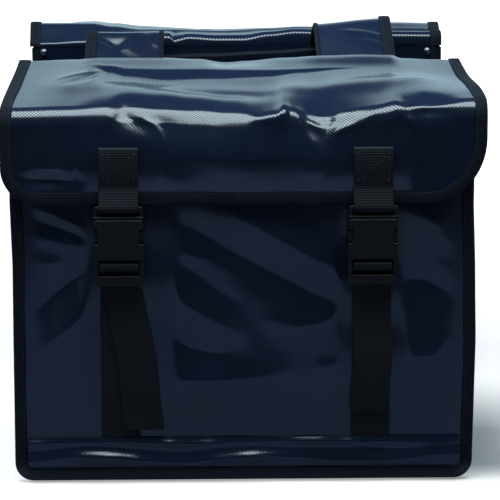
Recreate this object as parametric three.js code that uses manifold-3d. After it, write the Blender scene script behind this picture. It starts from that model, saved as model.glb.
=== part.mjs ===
// Double bicycle pannier of coated cloth: two equal bags that hang either side of a rack,
// joined for good by two arched bridge straps. Millimetres, Z up, the near bag faces -Y.
import * as THREE from "three";
import { mergeVertices } from "three/addons/utils/BufferGeometryUtils.js";
import manifoldModule from "manifold-3d";

const wasm = await manifoldModule();
wasm.setup();

// Cloth, tape and webbing
const cloth = 2;
const stripCloth = 1.5;
const tape = 1;
const webbing = 1.6;
const gap = 0.3;

// One bag
const rackGap = 150;
const frontY = -240;
const backY = -(rackGap / 2 + tape + gap + 0.2);
const panelBottom = 2.2;
const panelCorner = 14;
const frontTop = 300;
const seamTop = 322;
const flangeWidth = 8;
const edgeCalm = 12;
const baseStripTop = 38.4;
const rowHeights = [65, 92, 120, 152, 185, 210, 235, 268];
const sideRows = [
  { height: 0, left: 189.2, right: 189.2 },
  { height: 120, left: 188.8, right: 190.8 },
  { height: 185, left: 188.4, right: 189.2 },
  { height: 235, left: 189.8, right: 187.2 },
  { height: 340, left: 189.4, right: 187.8 },
];

// Flap: corners of its side profile, from the back seam over the top to the lower edge
const flapProfile = [
  { y: backY, z: seamTop, round: 0, steps: 0 },
  { y: backY, z: 332.4, round: 9, steps: 3 },
  { y: -247, z: 314, round: 15, steps: 4 },
  { y: -251, z: 238.5, round: 0, steps: 0 },
];
const flapTopRows = 4;
const flapDropRows = 2;
const flapHalfBack = 189.6;
const flapHalfFront = 196.4;
const flapCorner = { left: 30, right: 48 };
const flapCrown = 4;

// Tape that folds over a sewn edge
const tapeReach = 10;
const flangeTapeReach = 6;

// Straps and buckles
const strapWidth = 32;
const straps = [
  { side: "l", x: -102, calmFrom: -122, calmTo: -64, tailEnd: 46, drift: 18 },
  { side: "r", x: 105, calmFrom: 85, calmTo: 125, tailEnd: 62, drift: 0 },
];
const flapStrapTop = 283;
const buckleBarZ = 175;
const buckle = {
  width: 40.5,
  thick: 8.4,
  bottom: -4.6,
  top: 52,
  slotFrom: 4.4,
  slotTo: 17.6,
  crossBar: 12,
  maleBar: 61,
  maleTop: 62.6,
  plate: 3.2,
  bar: 3.2,
  slotHalf: 16.9,
  bevel: 0.8,
  round: 3.5,
  wrap: 3.5,
  standOff: 3.9,
  pocketHalf: 17.4,
  tongueHalf: 5,
};
const prong = { inner: 12, outer: 17, end: 26, tabFrom: 33, tabTo: 42, tabClear: 1.5 };

// Webbing at the adjuster bar, in the buckle's own height and depth: behind the lower bar
// and up to the adjuster bar, then down through the slot and behind the lower bar again
const wrapUp = [
  { up: 1, out: -7.5 },
  { up: 6.5, out: -7.1 },
];
const wrapDown = [
  { up: 9.2, out: 3 },
  { up: 7.8, out: 0.6 },
  { up: 7.2, out: -3 },
  { up: 5, out: -5.3 },
  { up: 0, out: -5.5 },
];

// Bridge between the bags
const bridges = [
  { side: "l", x: -100.5, crest: 345 },
  { side: "r", x: 102.5, crest: 355.5 },
];
const bridgeWidth = 66;
const bridgeFoot = 284;
const bridgeShoulder = 322;
const bridgeOuterTape = 9;
const bridgeInnerTape = 4;
const tie = { reach: 92, width: 20, leftZ: 314, rightZ: 322 };
const rivet = { x: 178, z: 316.5, radius: 3.5, height: 2.4 };

// Folds of the front panel: where, how turned, how long and wide, how far out or in
const panelFolds = [
  { x: 45, z: 212, turn: -32, length: 85, width: 24, out: 4 },
  { x: 15, z: 165, turn: -32, length: 85, width: 24, out: -5 },
  { x: -30, z: 158, turn: -30, length: 55, width: 22, out: 4 },
  { x: -55, z: 112, turn: -30, length: 60, width: 24, out: -4 },
  { x: 150, z: 135, turn: 70, length: 60, width: 22, out: -5 },
  { x: -155, z: 120, turn: 80, length: 60, width: 20, out: -4 },
  { x: 30, z: 80, turn: 8, length: 110, width: 20, out: 3 },
];
const panelCrown = 6;

// Folds of the flap: x across, s along the cloth from the back seam
const flapFolds = [
  { x: 70, s: 178, turn: 72, length: 50, width: 24, out: -7 },
  { x: -62, s: 176, turn: 60, length: 40, width: 22, out: -4 },
  { x: -25, s: 70, turn: 3, length: 95, width: 18, out: -5 },
  { x: 95, s: 108, turn: -10, length: 80, width: 20, out: 4 },
  { x: -115, s: 108, turn: 12, length: 60, width: 20, out: 4 },
  { x: 5, s: 228, turn: -6, length: 70, width: 20, out: 3 },
];

// Looks
const looks = {
  tarpaulin: { color: 0x16213c, roughness: 0.38, metalness: 0 },
  edging: { color: 0x1a1a1d, roughness: 0.75, metalness: 0 },
  belt: { color: 0x181a20, roughness: 0.7, metalness: 0 },
  plastic: { color: 0x0d0e10, roughness: 0.4, metalness: 0 },
  metal: { color: 0x2b2d31, roughness: 0.35, metalness: 0.9 },
};

// Small maths
const lerp = (a, b, t) => a + (b - a) * t;
const clamp01 = (t) => Math.min(1, Math.max(0, t));
const ease = (t) => clamp01(t) * clamp01(t) * (3 - 2 * clamp01(t));
const radians = THREE.MathUtils.degToRad;

function sideAt(height, side) {
  const last = sideRows.length - 1;
  let i = 0;
  while (i < last - 1 && height > sideRows[i + 1].height) i += 1;
  const [a, b] = [sideRows[i], sideRows[i + 1]];
  const t = clamp01((height - a.height) / (b.height - a.height));
  return lerp(a[side], b[side], t);
}

function foldSum(folds, x, s, key) {
  let sum = 0;
  for (const fold of folds) {
    const turn = radians(fold.turn);
    const dx = x - fold.x;
    const ds = s - fold[key];
    const along = (dx * Math.cos(turn) + ds * Math.sin(turn)) / fold.length;
    const across = (ds * Math.cos(turn) - dx * Math.sin(turn)) / fold.width;
    sum += fold.out * Math.exp(-along * along - across * across);
  }
  return sum;
}

// Under a strap the cloth lies even from side to side
function calmX(x) {
  for (const strap of straps) {
    if (x >= strap.calmFrom && x <= strap.calmTo) return strap.x;
  }
  return x;
}

function panelOut(x, z) {
  const even = calmX(x);
  const inX = ease((sideAt(z, x < 0 ? "left" : "right") - edgeCalm - Math.abs(even)) / 45);
  const inZ = ease((z - baseStripTop) / 45) * ease((frontTop - z) / 110);
  const crown = panelCrown * (1 - (even / 195) ** 2);
  return inX * inZ * (crown + foldSum(panelFolds, even, z, "z"));
}

// Closed bodies from rows of points
function closedBody(points, faces) {
  let volume = 0;
  for (const [a, b, c] of faces) {
    volume += points[a].dot(new THREE.Vector3().crossVectors(points[b], points[c]));
  }
  const turned = volume < 0 ? faces.map(([a, b, c]) => [a, c, b]) : faces;
  const geometry = new THREE.BufferGeometry();
  const flat = points.flatMap((p) => [p.x, p.y, p.z]);
  geometry.setAttribute("position", new THREE.Float32BufferAttribute(flat, 3));
  geometry.setIndex(turned.flat());
  return geometry;
}

function sheet(outer, inner) {
  const rows = outer.length;
  const columns = outer[0].length;
  const points = [...outer.flat(), ...inner.flat()];
  const at = (layer, r, c) => layer * rows * columns + r * columns + c;
  const faces = [];
  const quad = (a, b, c, d) => faces.push([a, b, c], [a, c, d]);
  for (let r = 0; r + 1 < rows; r += 1) {
    for (let c = 0; c + 1 < columns; c += 1) {
      quad(at(0, r, c), at(0, r, c + 1), at(0, r + 1, c + 1), at(0, r + 1, c));
      quad(at(1, r, c), at(1, r + 1, c), at(1, r + 1, c + 1), at(1, r, c + 1));
    }
    quad(at(0, r, 0), at(0, r + 1, 0), at(1, r + 1, 0), at(1, r, 0));
    const end = columns - 1;
    quad(at(0, r, end), at(1, r, end), at(1, r + 1, end), at(0, r + 1, end));
  }
  for (let c = 0; c + 1 < columns; c += 1) {
    quad(at(0, 0, c), at(1, 0, c), at(1, 0, c + 1), at(0, 0, c + 1));
    const end = rows - 1;
    quad(at(0, end, c), at(0, end, c + 1), at(1, end, c + 1), at(1, end, c));
  }
  return closedBody(points, faces);
}

function sweep(rings, contour) {
  const size = contour.length;
  const points = rings.flat();
  const faces = [];
  for (let r = 0; r + 1 < rings.length; r += 1) {
    for (let i = 0; i < size; i += 1) {
      const j = (i + 1) % size;
      const [a, b] = [r * size + i, r * size + j];
      faces.push([a, b, b + size], [a, b + size, a + size]);
    }
  }
  const caps = THREE.ShapeUtils.triangulateShape(contour, []);
  const clockwise = THREE.ShapeUtils.isClockWise(contour);
  const last = (rings.length - 1) * size;
  for (const [a, b, c] of caps) {
    if (clockwise) {
      faces.push([a, b, c], [last + a, last + c, last + b]);
    } else {
      faces.push([a, c, b], [last + a, last + b, last + c]);
    }
  }
  return closedBody(points, faces);
}

// Folded tape over an edge: legs taper toward their sewn ends
function tapeContour(stack, outerReach, innerReach) {
  const half = stack / 2;
  const corners = [
    [-outerReach, half + gap],
    [gap + tape, half + gap + tape],
    [gap + tape, -half - gap - tape],
    [-innerReach, -half - gap],
    [gap, -half - gap],
    [gap, half + gap],
  ];
  return corners.map(([along, across]) => new THREE.Vector2(along, across));
}

// Flat webbing along a path that stays in planes of equal x
function strip(path, width, thickness) {
  const direction = (a, b) => new THREE.Vector2(b.y - a.y, b.z - a.z).normalize();
  const rings = path.map((p, i) => {
    const before = direction(path[Math.max(0, i - 1)], path[Math.max(1, i)]);
    const after = direction(path[Math.min(i, path.length - 2)], path[Math.min(i + 1, path.length - 1)]);
    const mean = before.clone().add(after).normalize();
    const reach = thickness / 2 / Math.max(0.6, mean.dot(before));
    const [ny, nz] = [-mean.y * reach, mean.x * reach];
    const ring = [];
    for (const [side, face] of [[-1, -1], [1, -1], [1, 1], [-1, 1]]) {
      ring.push(new THREE.Vector3(p.x + (side * width) / 2, p.y + face * ny, p.z + face * nz));
    }
    return ring;
  });
  const contour = [[-1, -1], [1, -1], [1, 1], [-1, 1]].map(([a, b]) => new THREE.Vector2(a, b));
  return sweep(rings, contour);
}

// Outline of the panels: left side down, round the bottom, right side up
function outlineRows(top) {
  const rows = [];
  for (const angle of [0, 30, 60, 90]) {
    const z = panelBottom + panelCorner * (1 - Math.cos(radians(angle)));
    rows.push({ z, shrink: panelCorner * (1 - Math.sin(radians(angle))), angle });
  }
  for (const z of [baseStripTop, ...rowHeights, top]) rows.push({ z, shrink: 0, angle: 90 });
  return rows;
}

function outlineStations(top, coarse) {
  const bends = sideRows.map((row) => row.height);
  const kept = (row) => !coarse || row.z <= baseStripTop || row.z === top || bends.includes(row.z);
  const rows = outlineRows(top).filter(kept);
  const station = (row, side) => {
    const sign = side === "left" ? -1 : 1;
    const angle = radians(row.angle);
    const x = sign * (sideAt(row.z, side) - row.shrink);
    return { x, z: row.z, nx: sign * Math.sin(angle), nz: -Math.cos(angle), angle: row.angle };
  };
  const left = rows.map((row) => station(row, "left")).reverse();
  const right = rows.map((row) => station(row, "right"));
  const floorLine = [-0.5, 0, 0.5].map((t) => {
    return { x: t * left[left.length - 1].x * -1, z: panelBottom, nx: 0, nz: -1, angle: 0 };
  });
  return [...left, ...floorLine, ...right];
}

// Columns across a panel or flap row
function columnsAcross(left, right) {
  const outerLeft = straps[0].calmFrom;
  const outerRight = straps[1].calmTo;
  return [
    -left,
    -left + edgeCalm,
    (outerLeft - left + edgeCalm) / 2,
    outerLeft,
    straps[0].calmTo,
    -22,
    18,
    52,
    straps[1].calmFrom,
    outerRight,
    (outerRight + right - edgeCalm) / 2,
    right - edgeCalm,
    right,
  ];
}

function frontPanel() {
  const layer = (depth) => outlineRows(frontTop).map((row) => {
    const left = sideAt(row.z, "left") - row.shrink;
    const right = sideAt(row.z, "right") - row.shrink;
    return columnsAcross(left, right).map((x, i, all) => {
      const edge = i < 2 || i > all.length - 3;
      const out = edge ? 0 : panelOut(x, row.z);
      return new THREE.Vector3(x, frontY - out + depth, row.z);
    });
  });
  return sheet(layer(0), layer(cloth));
}

function backPanel() {
  const bends = sideRows.map((row) => row.height);
  const rows = outlineRows(seamTop - gap).filter((row, i, all) => {
    return row.angle < 90 || i === 3 || bends.includes(row.z) || i === all.length - 1;
  });
  const layer = (depth) => rows.map((row) => {
    const left = sideAt(row.z, "left") - row.shrink;
    const right = sideAt(row.z, "right") - row.shrink;
    const columns = [-left, -left + edgeCalm, right - edgeCalm, right];
    return columns.map((x) => new THREE.Vector3(x, backY - depth, row.z));
  });
  return sheet(layer(0), layer(cloth));
}

function edgeTape(stations, y, stack, outward) {
  const contour = tapeContour(stack, tapeReach, flangeTapeReach);
  const rings = stations.map((s) => contour.map((c) => {
    return new THREE.Vector3(s.x + s.nx * c.x, y + outward * c.y, s.z + s.nz * c.x);
  }));
  return sweep(rings, contour);
}

// Side and bottom strip with a seam flange along both long edges
function gusset() {
  const flangeFront = frontY + cloth + gap;
  const flangeBack = backY - cloth - gap;
  const lipGap = 1;
  const swell = flangeWidth + panelBottom;
  const wall = [
    { t: 0.115, side: -2, floor: swell },
    { t: 0.5, side: -7, floor: swell },
    { t: 0.885, side: -2, floor: swell },
  ];
  const stations = outlineStations(frontTop - lipGap, true);
  const topZ = (y) => lerp(frontTop, seamTop, (y - flangeFront) / (flangeBack - flangeFront)) - lipGap;
  const layer = (inside) => stations.map((s, index) => {
    const end = index === 0 || index === stations.length - 1;
    const floorShare = 1 - Math.sin(radians(s.angle));
    const wave = 1 + 0.45 * Math.sin(s.z / 34 + (s.x < 0 ? 0 : 2));
    const skin = inside ? -cloth : 0;
    const lip = inside ? 0 : cloth;
    const point = (y, out) => {
      const z = end ? topZ(y) : s.z + s.nz * out;
      return new THREE.Vector3(s.x + s.nx * out, y, z);
    };
    const walls = wall.map((w) => {
      const out = lerp(w.side * wave, w.floor, floorShare) - flangeWidth + skin;
      return point(lerp(flangeFront, flangeBack, w.t), out);
    });
    const root = -flangeWidth + skin;
    return [
      point(flangeFront + lip, 0),
      point(flangeFront + lip, root),
      ...walls,
      point(flangeBack - lip, root),
      point(flangeBack - lip, 0),
    ];
  });
  return sheet(layer(false), layer(true));
}

// Rounded side profile of the flap as stations with an outward direction
function flapStations() {
  const stations = [];
  const corner = (i) => new THREE.Vector2(flapProfile[i].y, flapProfile[i].z);
  const add = (p, n) => stations.push({ y: p.x, z: p.y, ny: n.x, nz: n.y });
  const outward = (d) => new THREE.Vector2(d.y, -d.x);
  const counts = [1, flapTopRows, flapDropRows];
  let from = corner(0);
  for (let i = 1; i < flapProfile.length; i += 1) {
    const into = corner(i).sub(corner(i - 1)).normalize();
    const { round, steps } = flapProfile[i];
    const next = i + 1 < flapProfile.length ? corner(i + 1).sub(corner(i)).normalize() : into;
    const turn = Math.atan2(into.x * next.y - into.y * next.x, into.dot(next));
    const cut = Math.abs(round * Math.tan(turn / 2));
    const to = corner(i).addScaledVector(into, -cut);
    for (let k = 0; k < counts[i - 1]; k += 1) {
      add(from.clone().lerp(to, k / counts[i - 1]), outward(into));
    }
    const centre = to.clone().addScaledVector(outward(into), -round);
    for (let k = 0; k < steps; k += 1) {
      const n = outward(into).rotateAround(new THREE.Vector2(), (turn * k) / steps);
      add(centre.clone().addScaledVector(n, round), n);
    }
    from = centre.clone().addScaledVector(outward(next), round);
    if (i === flapProfile.length - 1) addFlapCorner(stations, to, into, outward(into));
  }
  let s = 0;
  stations.forEach((p, i) => {
    if (i > 0) s += Math.hypot(p.y - stations[i - 1].y, p.z - stations[i - 1].z);
    p.s = s;
  });
  return stations;
}

// Last rows of the flap, closer together where its lower corners turn
function addFlapCorner(stations, edge, along, normal) {
  const rows = [0.62, 0.3, 0.1, 0];
  for (const back of rows) {
    const p = edge.clone().addScaledVector(along, -back * flapCorner.right);
    stations.push({ y: p.x, z: p.y, ny: normal.x, nz: normal.y });
  }
}

const flapRows = flapStations();
const flapLength = flapRows[flapRows.length - 1].s;
const foldS = flapRows.find((row) => row.ny < -0.95).s;

function flapHalf(s, side) {
  const share = ease(s / foldS);
  const widest = lerp(flapHalfBack, flapHalfFront, share);
  const radius = flapCorner[side];
  const left = Math.max(0, radius - (flapLength - s));
  return widest - (radius - Math.sqrt(radius * radius - left * left));
}

function flapOut(x, s) {
  const even = s > foldS - 12 ? calmX(x) : x;
  const inX = ease((flapHalf(s, x < 0 ? "left" : "right") - edgeCalm - Math.abs(even)) / 40);
  const inS = ease((s - 20) / 40) * ease((flapLength - edgeCalm - s) / 25);
  const crown = flapCrown * Math.sin(Math.PI * clamp01(s / foldS));
  return inX * inS * (crown + foldSum(flapFolds, even, s, "s"));
}

function flapPoint(row, x, out) {
  return new THREE.Vector3(x, row.y + row.ny * out, row.z + row.nz * out);
}

function flapSheet() {
  const layer = (depth) => flapRows.map((row) => {
    const columns = columnsAcross(flapHalf(row.s, "left"), flapHalf(row.s, "right"));
    return columns.map((x, i, all) => {
      const edge = i < 2 || i > all.length - 3;
      return flapPoint(row, x, (edge ? 0 : flapOut(x, row.s)) - depth);
    });
  });
  return sheet(layer(0), layer(cloth));
}

function flapTape() {
  const contour = tapeContour(cloth, tapeReach, tapeReach);
  const low = flapRows[flapRows.length - 1];
  const leftSide = flapRows.map((row) => ({ row, x: -flapHalf(row.s, "left") }));
  const rightSide = flapRows.map((row) => ({ row, x: flapHalf(row.s, "right") })).reverse();
  const lowEdge = [0.25, 0.5, 0.75].map((t) => {
    return { row: low, x: lerp(-flapHalf(low.s, "left"), flapHalf(low.s, "right"), t) };
  });
  const path = [...leftSide, ...lowEdge, ...rightSide];
  const place = (p) => flapPoint(p.row, p.x, -cloth / 2);
  const rings = path.map((p, i) => {
    const here = place(p);
    const before = i > 0 ? here.clone().sub(place(path[i - 1])).normalize() : null;
    const after = i + 1 < path.length ? place(path[i + 1]).sub(here).normalize() : null;
    const tangent = before && after ? before.clone().add(after).normalize() : (before || after);
    const normal = new THREE.Vector3(0, p.row.ny, p.row.nz);
    const outward = new THREE.Vector3().crossVectors(normal, tangent).normalize();
    if (outward.dot(new THREE.Vector3(p.x, 0, 0)) < 0 && Math.abs(outward.x) > 0.1) outward.negate();
    if (Math.abs(outward.x) <= 0.1 && outward.z > 0) outward.negate();
    const lift = before && after ? 1 / Math.max(0.8, Math.abs(before.dot(tangent))) : 1;
    return contour.map((c) => {
      return here.clone().addScaledVector(outward, c.x).addScaledVector(normal, c.y * lift);
    });
  });
  return sweep(rings, contour);
}

function baseStrip() {
  const inset = tapeReach + 4 * gap;
  const rows = [panelBottom + inset, baseStripTop];
  const layer = (out) => rows.map((z) => {
    const half = (side) => sideAt(z, side) - inset;
    return [-half("left"), half("right")].map((x) => new THREE.Vector3(x, frontY - out, z));
  });
  return sheet(layer(gap + stripCloth), layer(gap));
}

// Buckle space: v runs up the buckle from its lower bar, w outward from its middle plane
function buckleFrame(strap) {
  const low = flapRows[flapRows.length - 1];
  const outBottom = panelOut(strap.x, buckleBarZ) + gap + webbing / 2 + buckle.thick / 2 + buckle.standOff;
  const outTop = frontY - low.y + tape + gap * 2 + webbing / 2 + buckle.wrap + 0.2;
  const tilt = Math.atan2(outTop - outBottom, buckle.maleBar);
  const up = new THREE.Vector3(0, -Math.sin(tilt), Math.cos(tilt));
  const out = new THREE.Vector3(0, -Math.cos(tilt), -Math.sin(tilt));
  const origin = new THREE.Vector3(strap.x, frontY - outBottom, buckleBarZ);
  const place = (v, w) => origin.clone().addScaledVector(up, v).addScaledVector(out, w);
  const matrix = new THREE.Matrix4().makeBasis(new THREE.Vector3(1, 0, 0), up, out).setPosition(origin);
  return { place, matrix };
}

function arc(place, centre, from, to, steps) {
  const points = [];
  for (let i = 0; i <= steps; i += 1) {
    const angle = radians(lerp(from, to, i / steps));
    points.push(place(centre + buckle.wrap * Math.sin(angle), buckle.wrap * Math.cos(angle)));
  }
  return points;
}

// Webbing on the flap, folded round the upper bar of the buckle
function flapStrap(strap) {
  const { place } = buckleFrame(strap);
  const drop = flapRows.filter((row) => row.z < flapStrapTop - 2 && row.s > foldS);
  const onFlap = (row, layer) => {
    const overTape = flapLength - row.s < tapeReach + 3 ? tape + gap : 0;
    const out = flapOut(strap.x, row.s) + overTape + gap + webbing / 2 + layer * (webbing + gap);
    return flapPoint(row, strap.x, out);
  };
  const first = drop[0];
  const top = onFlap(first, 1);
  top.z = flapStrapTop;
  const path = [top, ...drop.slice(0, -2).map((row) => onFlap(row, 1))];
  path.push(...arc(place, buckle.maleBar, 0, -180, 6));
  const back = drop.slice(0, -1).reverse().map((row) => onFlap(row, 0));
  path.push(...back);
  return strip(path, strapWidth, webbing);
}

// Webbing from the base seam, round the adjuster bar and down again as a loose tail
function lowerStrap(strap, drift) {
  const { place } = buckleFrame(strap);
  const first = gap + webbing / 2;
  const second = first + webbing + gap + 0.1;
  const on = (z, out, shift) => {
    return new THREE.Vector3(strap.x + shift, frontY - panelOut(strap.x, z) - out, z);
  };
  const below = buckleBarZ + buckle.bottom - 6;
  const heights = rowHeights.filter((z) => z < below);
  const shiftAt = (z) => drift * ease(((below + 8 - z) / (below - strap.tailEnd)) * 1.15);
  const path = [on(baseStripTop + gap, first, 0), ...heights.map((z) => on(z, first, 0))];
  path.push(...wrapUp.map((p) => place(p.up, p.out)));
  path.push(...arc(place, buckle.crossBar, 195, 0, 7));
  path.push(...wrapDown.map((p) => place(p.up, p.out)));
  const tailRows = heights.slice().reverse().filter((z) => z > strap.tailEnd + 6);
  path.push(...tailRows.map((z) => on(z, second, shiftAt(z))));
  path.push(on(strap.tailEnd, second, shiftAt(strap.tailEnd)));
  return strip(path, strapWidth, webbing);
}

// Plates and boxes of the buckle, joined and cut as solids
function toSolid(geometry) {
  const bare = geometry.clone();
  bare.deleteAttribute("normal");
  bare.deleteAttribute("uv");
  const merged = mergeVertices(bare, 1e-4);
  return new wasm.Manifold(new wasm.Mesh({
    numProp: 3,
    vertProperties: new Float32Array(merged.attributes.position.array),
    triVerts: new Uint32Array(merged.index.array),
  }));
}

function fromSolid(solid) {
  const mesh = solid.getMesh();
  const geometry = new THREE.BufferGeometry();
  geometry.setAttribute("position", new THREE.Float32BufferAttribute(mesh.vertProperties, 3));
  geometry.setIndex(Array.from(mesh.triVerts));
  return geometry;
}

function roundedOutline(path, halfWidth, bottom, top, round) {
  path.moveTo(-halfWidth + round, bottom);
  path.lineTo(halfWidth - round, bottom);
  path.quadraticCurveTo(halfWidth, bottom, halfWidth, bottom + round);
  path.lineTo(halfWidth, top - round);
  path.quadraticCurveTo(halfWidth, top, halfWidth - round, top);
  path.lineTo(-halfWidth + round, top);
  path.quadraticCurveTo(-halfWidth, top, -halfWidth, top - round);
  path.lineTo(-halfWidth, bottom + round);
  path.quadraticCurveTo(-halfWidth, bottom, -halfWidth + round, bottom);
  return path;
}

function plate(halfWidth, bottom, top, round, thick, bevel, slot) {
  const shape = roundedOutline(new THREE.Shape(), halfWidth - bevel, bottom + bevel, top - bevel, round);
  if (slot) shape.holes.push(roundedOutline(new THREE.Path(), slot.half, slot.from, slot.to, 1));
  const geometry = new THREE.ExtrudeGeometry(shape, {
    depth: thick - 2 * bevel,
    bevelEnabled: bevel > 0,
    bevelThickness: bevel,
    bevelSize: bevel,
    bevelSegments: 1,
    curveSegments: 2,
  });
  return geometry.translate(0, 0, -(thick - 2 * bevel) / 2);
}

function block(fromU, toU, fromV, toV, thick) {
  const geometry = new THREE.BoxGeometry(toU - fromU, toV - fromV, thick);
  return geometry.translate((fromU + toU) / 2, (fromV + toV) / 2, 0);
}

// A block on both sides of the buckle's middle, given by its inner and outer distance
function pairOfBlocks(inner, outer, fromV, toV, thick) {
  const right = toSolid(block(inner, outer, fromV, toV, thick));
  return right.add(toSolid(block(-outer, -inner, fromV, toV, thick)));
}

function buckleFemale(strap) {
  const half = buckle.width / 2;
  const { bottom, top, round, thick, bevel, crossBar, bar, pocketHalf } = buckle;
  const slot = { half: buckle.slotHalf, from: buckle.slotFrom, to: buckle.slotTo };
  const pocketClear = buckle.plate + 2 * gap;
  const tabs = [prong.tabFrom - prong.tabClear, prong.tabTo + prong.tabClear];
  const body = toSolid(plate(half, bottom, top, round, thick, bevel, slot))
    .add(toSolid(block(-half + 2, half - 2, crossBar - bar / 2, crossBar + bar / 2, buckle.plate)))
    .subtract(toSolid(block(-pocketHalf, pocketHalf, prong.end - 3, top + 5, pocketClear)))
    .subtract(pairOfBlocks(pocketHalf - 2 * gap, half + 3, tabs[0], tabs[1], 2 * thick));
  return fromSolid(body).applyMatrix4(buckleFrame(strap).matrix);
}

function buckleMale(strap) {
  const half = buckle.width / 2;
  const low = buckle.top + gap;
  const root = low + 1.5;
  const slot = { half: buckle.slotHalf, from: low + 2.4, to: buckle.maleBar - buckle.bar / 2 };
  const tongue = block(-buckle.tongueHalf, buckle.tongueHalf, prong.end + 4, root, buckle.plate);
  const body = toSolid(plate(half, low, buckle.maleTop, 3, buckle.plate, 0, slot))
    .add(toSolid(tongue))
    .add(pairOfBlocks(prong.inner, prong.outer, prong.end, root, buckle.plate))
    .add(pairOfBlocks(prong.outer - 1, half - 0.5, prong.tabFrom, prong.tabTo, buckle.plate));
  return fromSolid(body).applyMatrix4(buckleFrame(strap).matrix);
}

function rivetDome() {
  const { radius, height } = rivet;
  const rows = [[0, 0], [1, 0], [0.9, 0.5], [0.5, 0.9], [0, 1]];
  const profile = rows.map(([r, h]) => new THREE.Vector2(r * radius, h * height));
  return new THREE.LatheGeometry(profile, 10);
}

// Bridge strap as an arch from one back panel over the rack gap to the other
function bridgePath(bridge) {
  const reach = -backY - 2 * gap - tape - cloth / 2;
  const rise = bridge.crest - cloth / 2 - bridgeShoulder;
  const path = [{ y: -reach, z: bridgeFoot }];
  const angles = [180, 168, 152, 134, 114, 96, 84, 66, 46, 28, 12, 0];
  for (const angle of angles) {
    const [c, s] = [Math.cos(radians(angle)), Math.sin(radians(angle))];
    path.push({ y: reach * Math.sign(c) * Math.abs(c) ** 0.9, z: bridgeShoulder + rise * s });
  }
  path.push({ y: reach, z: bridgeFoot });
  return path.map((p) => new THREE.Vector3(bridge.x, p.y, p.z));
}

function bridgeNormals(path) {
  const last = path.length - 1;
  return path.map((p, i) => {
    const before = path[Math.max(1, i)].clone().sub(path[Math.max(0, i - 1)]).normalize();
    const after = path[Math.min(last, i + 1)].clone().sub(path[Math.min(last - 1, i)]).normalize();
    const along = before.add(after).normalize();
    return new THREE.Vector3(0, -along.z, along.y);
  });
}

function bridgeSheet(bridge) {
  const path = bridgePath(bridge);
  const normals = bridgeNormals(path);
  const half = bridgeWidth / 2;
  const outer = Math.sign(bridge.x);
  const bound = [half, half - bridgeOuterTape - 1, -half + bridgeInnerTape + 1, -half];
  const layer = (face) => path.map((p, i) => bound.map((across) => {
    const shift = new THREE.Vector3(outer * across, 0, 0);
    return p.clone().addScaledVector(normals[i], (face * cloth) / 2).add(shift);
  }));
  return sheet(layer(1), layer(-1));
}

function bridgeTape(bridge, sign, reach) {
  const path = bridgePath(bridge);
  const normals = bridgeNormals(path);
  const contour = tapeContour(cloth, reach, reach);
  const edgeX = (sign * bridgeWidth) / 2;
  const rings = path.map((p, i) => contour.map((c) => {
    const shift = new THREE.Vector3(edgeX + sign * c.x, 0, 0);
    return p.clone().addScaledVector(normals[i], c.y).add(shift);
  }));
  return sweep(rings, contour);
}

function bridgeTie() {
  const far = -backY - gap * 4 - tape * 2 - cloth;
  const layer = (drop) => [-tie.reach, 0, tie.reach].map((x) => {
    const z = lerp(tie.leftZ, tie.rightZ, (x + tie.reach) / (2 * tie.reach)) - drop;
    return [new THREE.Vector3(x, far - tie.width, z), new THREE.Vector3(x, far, z)];
  });
  return sheet(layer(0), layer(webbing));
}

// Assembly
const group = new THREE.Group();
group.name = "double_pannier";

function add(name, geometry, look, turned) {
  const material = new THREE.MeshStandardMaterial({ ...looks[look], name: look });
  if (turned) geometry.rotateZ(Math.PI);
  const mesh = new THREE.Mesh(geometry, material);
  mesh.name = name;
  group.add(mesh);
}

for (const bag of [{ name: "near", turned: false, drift: 1 }, { name: "far", turned: true, drift: 0 }]) {
  const put = (piece, geometry, look) => add(`${bag.name}_${piece}`, geometry, look, bag.turned);
  const seamStack = 2 * cloth + gap;
  put("front_panel", frontPanel(), "tarpaulin");
  put("gusset", gusset(), "tarpaulin");
  put("back_panel", backPanel(), "tarpaulin");
  put("flap", flapSheet(), "tarpaulin");
  put("base_strip", baseStrip(), "tarpaulin");
  const frontEdge = outlineStations(frontTop, true);
  const backEdge = outlineStations(seamTop - 2, true);
  put("front_binding", edgeTape(frontEdge, frontY + seamStack / 2, seamStack, -1), "edging");
  put("back_binding", edgeTape(backEdge, backY - seamStack / 2, seamStack, 1), "edging");
  put("flap_binding", flapTape(), "edging");
  for (const strap of straps) {
    put(`flap_strap_${strap.side}`, flapStrap(strap), "belt");
    put(`lower_strap_${strap.side}`, lowerStrap(strap, strap.drift * bag.drift), "belt");
    put(`buckle_male_${strap.side}`, buckleMale(strap), "plastic");
    put(`buckle_female_${strap.side}`, buckleFemale(strap), "plastic");
  }
  for (const [side, sign] of [["l", -1], ["r", 1]]) {
    put(`rivet_${side}`, rivetDome().translate(sign * rivet.x, backY + 3 * gap, rivet.z), "metal");
  }
}

for (const bridge of bridges) {
  const outer = Math.sign(bridge.x);
  add(`bridge_strap_${bridge.side}`, bridgeSheet(bridge), "tarpaulin", false);
  add(`bridge_binding_${bridge.side}o`, bridgeTape(bridge, outer, bridgeOuterTape), "edging", false);
  add(`bridge_binding_${bridge.side}i`, bridgeTape(bridge, -outer, bridgeInnerTape), "edging", false);
}
add("bridge_tie", bridgeTie(), "belt", false);

export default group;
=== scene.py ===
import math

import bmesh
import bpy
import numpy as np
from mathutils import Matrix, Vector


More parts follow.
